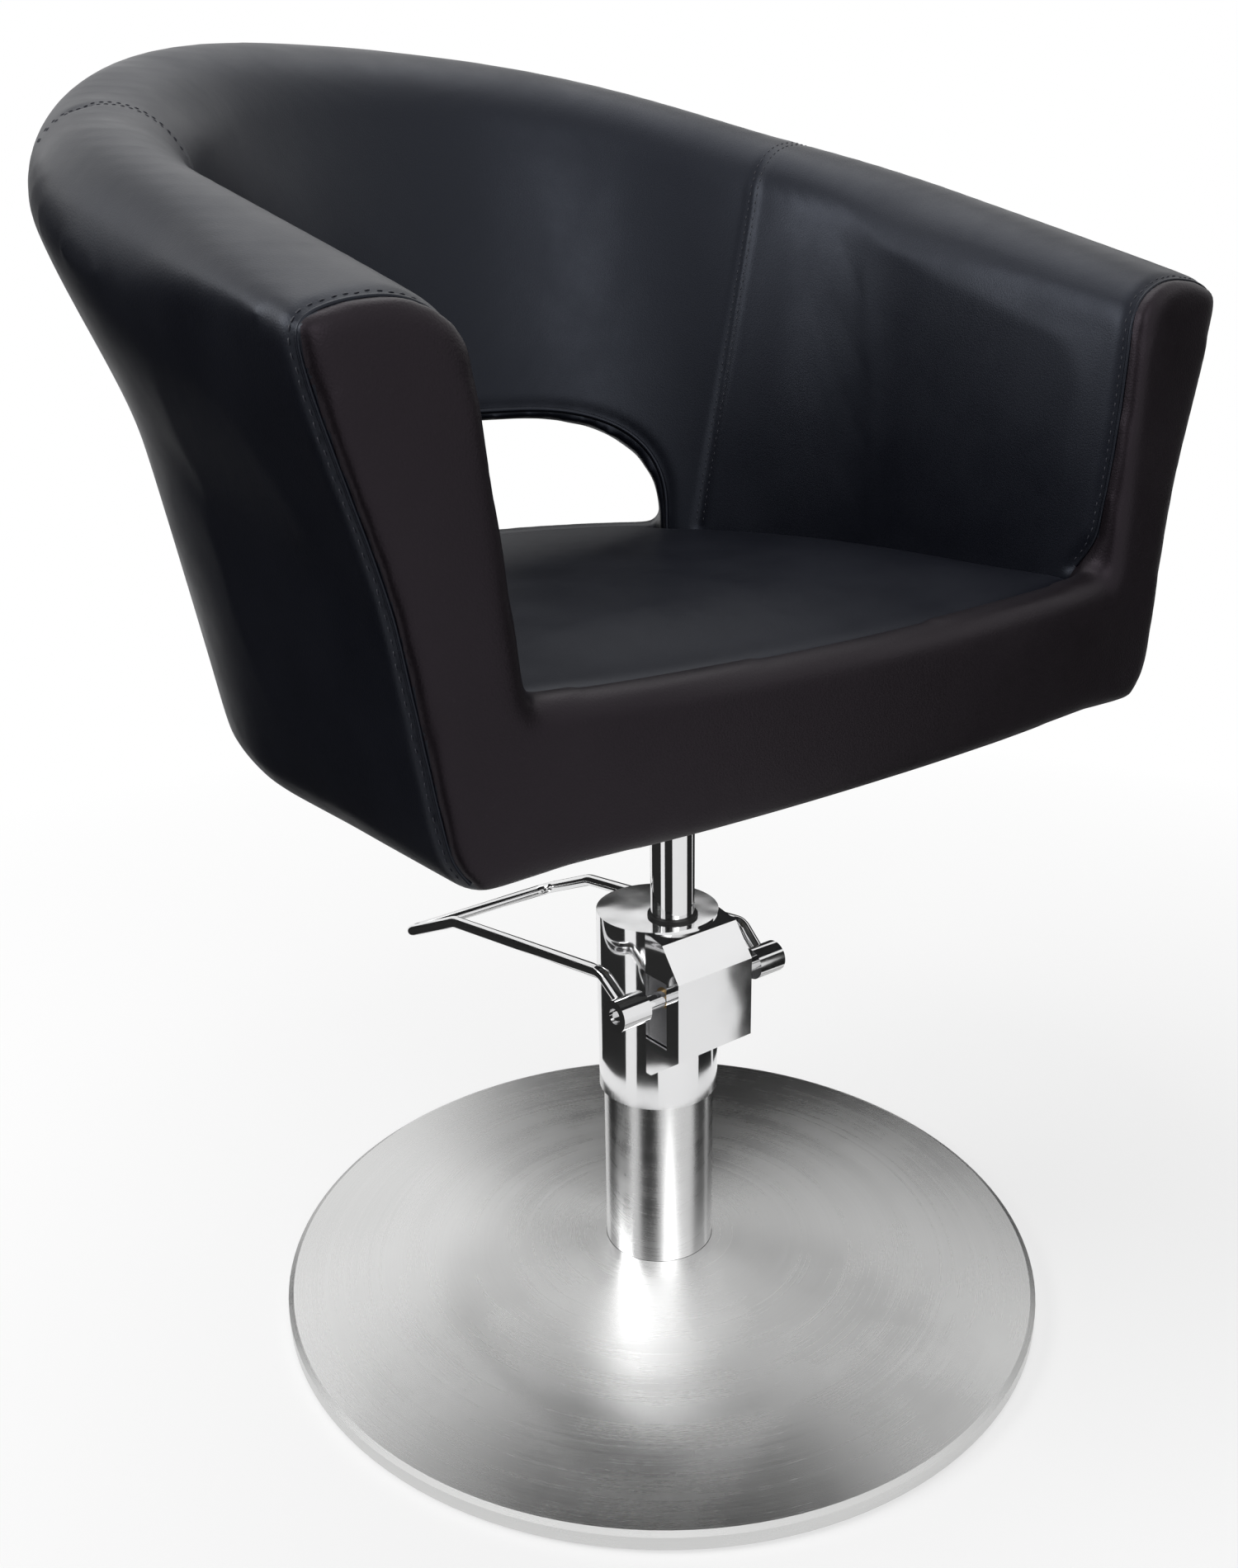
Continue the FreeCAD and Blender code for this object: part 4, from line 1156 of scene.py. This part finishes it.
def make_room():
    """White background, and soft grey as a lamp."""
    world = bpy.data.worlds.new("studio")
    bpy.context.scene.world = world
    world.use_nodes = True
    tree = world.node_tree
    lamp, white = tree.nodes["Background"], node(tree, "Background")
    feed(tree, lamp, Strength=0.35)
    for light in (lamp, white):
        light.inputs["Color"].default_value = (1.0, 1.0, 1.0, 1.0)
    chosen = node(tree, "MixShader")
    feed(tree, chosen, i0=seen_directly(tree), i1=lamp.outputs[0], i2=white.outputs[0])
    wire(tree, chosen.outputs[0], tree.nodes["World Output"].inputs["Surface"])


# Dark cards round the chair: where each starts and ends, in turns from +X towards +Y, and its height.
CARDS = [(-0.01, 0.175, 1.2), (0.27, 0.47, 1.3), (0.53, 0.64, 1.3), (0.86, 0.97, 1.3)]


def dark_cards():
    """Cards that lie on the floor and turn up at their far ends, seen only in reflections."""
    work = bmesh.new()
    for start, end, height in CARDS:
        turns = steps(start * math.tau, end * math.tau, 25)
        rows = [[work.verts.new((radius * math.cos(a), radius * math.sin(a), z)) for a in turns]
                for radius, z in ((CARDS_NEAR, MM), (CARDS_FAR, MM), (CARDS_FAR, height))]
        for low, high in zip(rows, rows[1:]):
            for i in range(len(turns) - 1):
                work.faces.new((low[i], low[i + 1], high[i + 1], high[i]))
    cards = from_bmesh("dark_cards", work)
    material, _, shader = blank("dark_card")
    shader.inputs["Base Color"].default_value = (0.03, 0.03, 0.03, 1.0)
    shader.inputs["Roughness"].default_value = 1.0
    shader.inputs["Specular IOR Level"].default_value = 0.0
    shade(cards, material)
    cards.visible_camera = cards.visible_diffuse = cards.visible_shadow = False
    cards.visible_transmission = cards.visible_volume_scatter = False


def soft_lamp(name, place, target, size, power):
    data = bpy.data.lights.new(name, "AREA")
    data.shape, data.size, data.energy = "DISK", size, power
    lamp = new_object(name, data)
    lamp.location = place
    lamp.rotation_euler = (Vector(target) - Vector(place)).to_track_quat("-Z", "Y").to_euler()


class CHAIR_OT_stage(bpy.types.Operator):
    """Set the floor, the lamps and the camera"""
    bl_idname = "chair.stage"
    bl_label = "Set the Stage"

    def execute(self, context):
        sizes, scene = context.scene.chair_stage, context.scene
        work = bmesh.new()
        bmesh.ops.create_circle(work, cap_ends=True, segments=96, radius=sizes.floor_radius)
        floor = from_bmesh("floor", work)
        shade(floor, floor_material())
        make_room()
        dark_cards()
        soft_lamp("side_softbox", (-2.3, 0.9, 2.1), (0, 0.05, 0.6), 1.6, 38)
        soft_lamp("front_softbox", (-0.9, -2.9, 2.4), (0, 0, 0.5), 1.8, 22)
        soft_lamp("top_softbox", (0.3, 0.6, 3.0), (0, 0, 0.3), 2.2, 20)
        data = bpy.data.cameras.new("view")
        data.lens, data.sensor_width, data.sensor_fit = sizes.lens, 36.0, "AUTO"
        data.clip_start, data.clip_end = 0.01, 100.0
        camera = new_object("view", data)
        heading, pitch, roll = sizes.camera_heading, sizes.camera_pitch, sizes.camera_roll
        forward = Vector((-math.sin(heading) * math.cos(pitch), math.cos(heading) * math.cos(pitch),
                          -math.sin(pitch)))
        right = forward.cross(Vector((0, 0, 1))).normalized()
        up = right.cross(forward)
        across = right * math.cos(roll) + up * math.sin(roll)
        upright = up * math.cos(roll) - right * math.sin(roll)
        axes = Matrix((across, upright, -forward)).transposed()
        camera.matrix_world = Matrix.Translation(Vector(sizes.camera_place)) @ axes.to_4x4()
        scene.camera = camera
        scene.view_settings.view_transform = "Standard"
        return {"FINISHED"}


class CHAIR_PT_panel(bpy.types.Panel):
    """Steps that dress the chair, in order"""
    bl_idname = "CHAIR_PT_panel"
    bl_label = "Styling Chair"
    bl_space_type = "VIEW_3D"
    bl_region_type = "UI"
    bl_category = "Chair"

    def draw(self, context):
        for operator in OPERATORS:
            self.layout.operator(operator.bl_idname)
        for holder in (context.scene.chair_tub, context.scene.chair_upholstery, context.scene.chair_colours,
                       context.scene.chair_stage):
            column = self.layout.column()
            for key in holder.__annotations__:
                column.prop(holder, key)


GROUPS = {"chair_tub": ChairTubSizes, "chair_upholstery": ChairUpholsterySizes, "chair_colours": ChairColours,
          "chair_stage": ChairStageSizes}
OPERATORS = (CHAIR_OT_finishes, CHAIR_OT_tub, CHAIR_OT_seat, CHAIR_OT_seams, CHAIR_OT_stage)


def register():
    for cls in (*GROUPS.values(), *OPERATORS, CHAIR_PT_panel):
        bpy.utils.register_class(cls)
    for name, cls in GROUPS.items():
        setattr(bpy.types.Scene, name, PointerProperty(type=cls))


def unregister():
    for name in GROUPS:
        delattr(bpy.types.Scene, name)
    for cls in reversed((*GROUPS.values(), *OPERATORS, CHAIR_PT_panel)):
        bpy.utils.unregister_class(cls)


def main():
    register()
    bpy.ops.chair.finishes()
    bpy.ops.chair.tub()
    bpy.ops.chair.seat()
    bpy.ops.chair.seams()
    bpy.ops.chair.stage()
    bpy.context.view_layer.update()


if __name__ == "__main__":
    main()
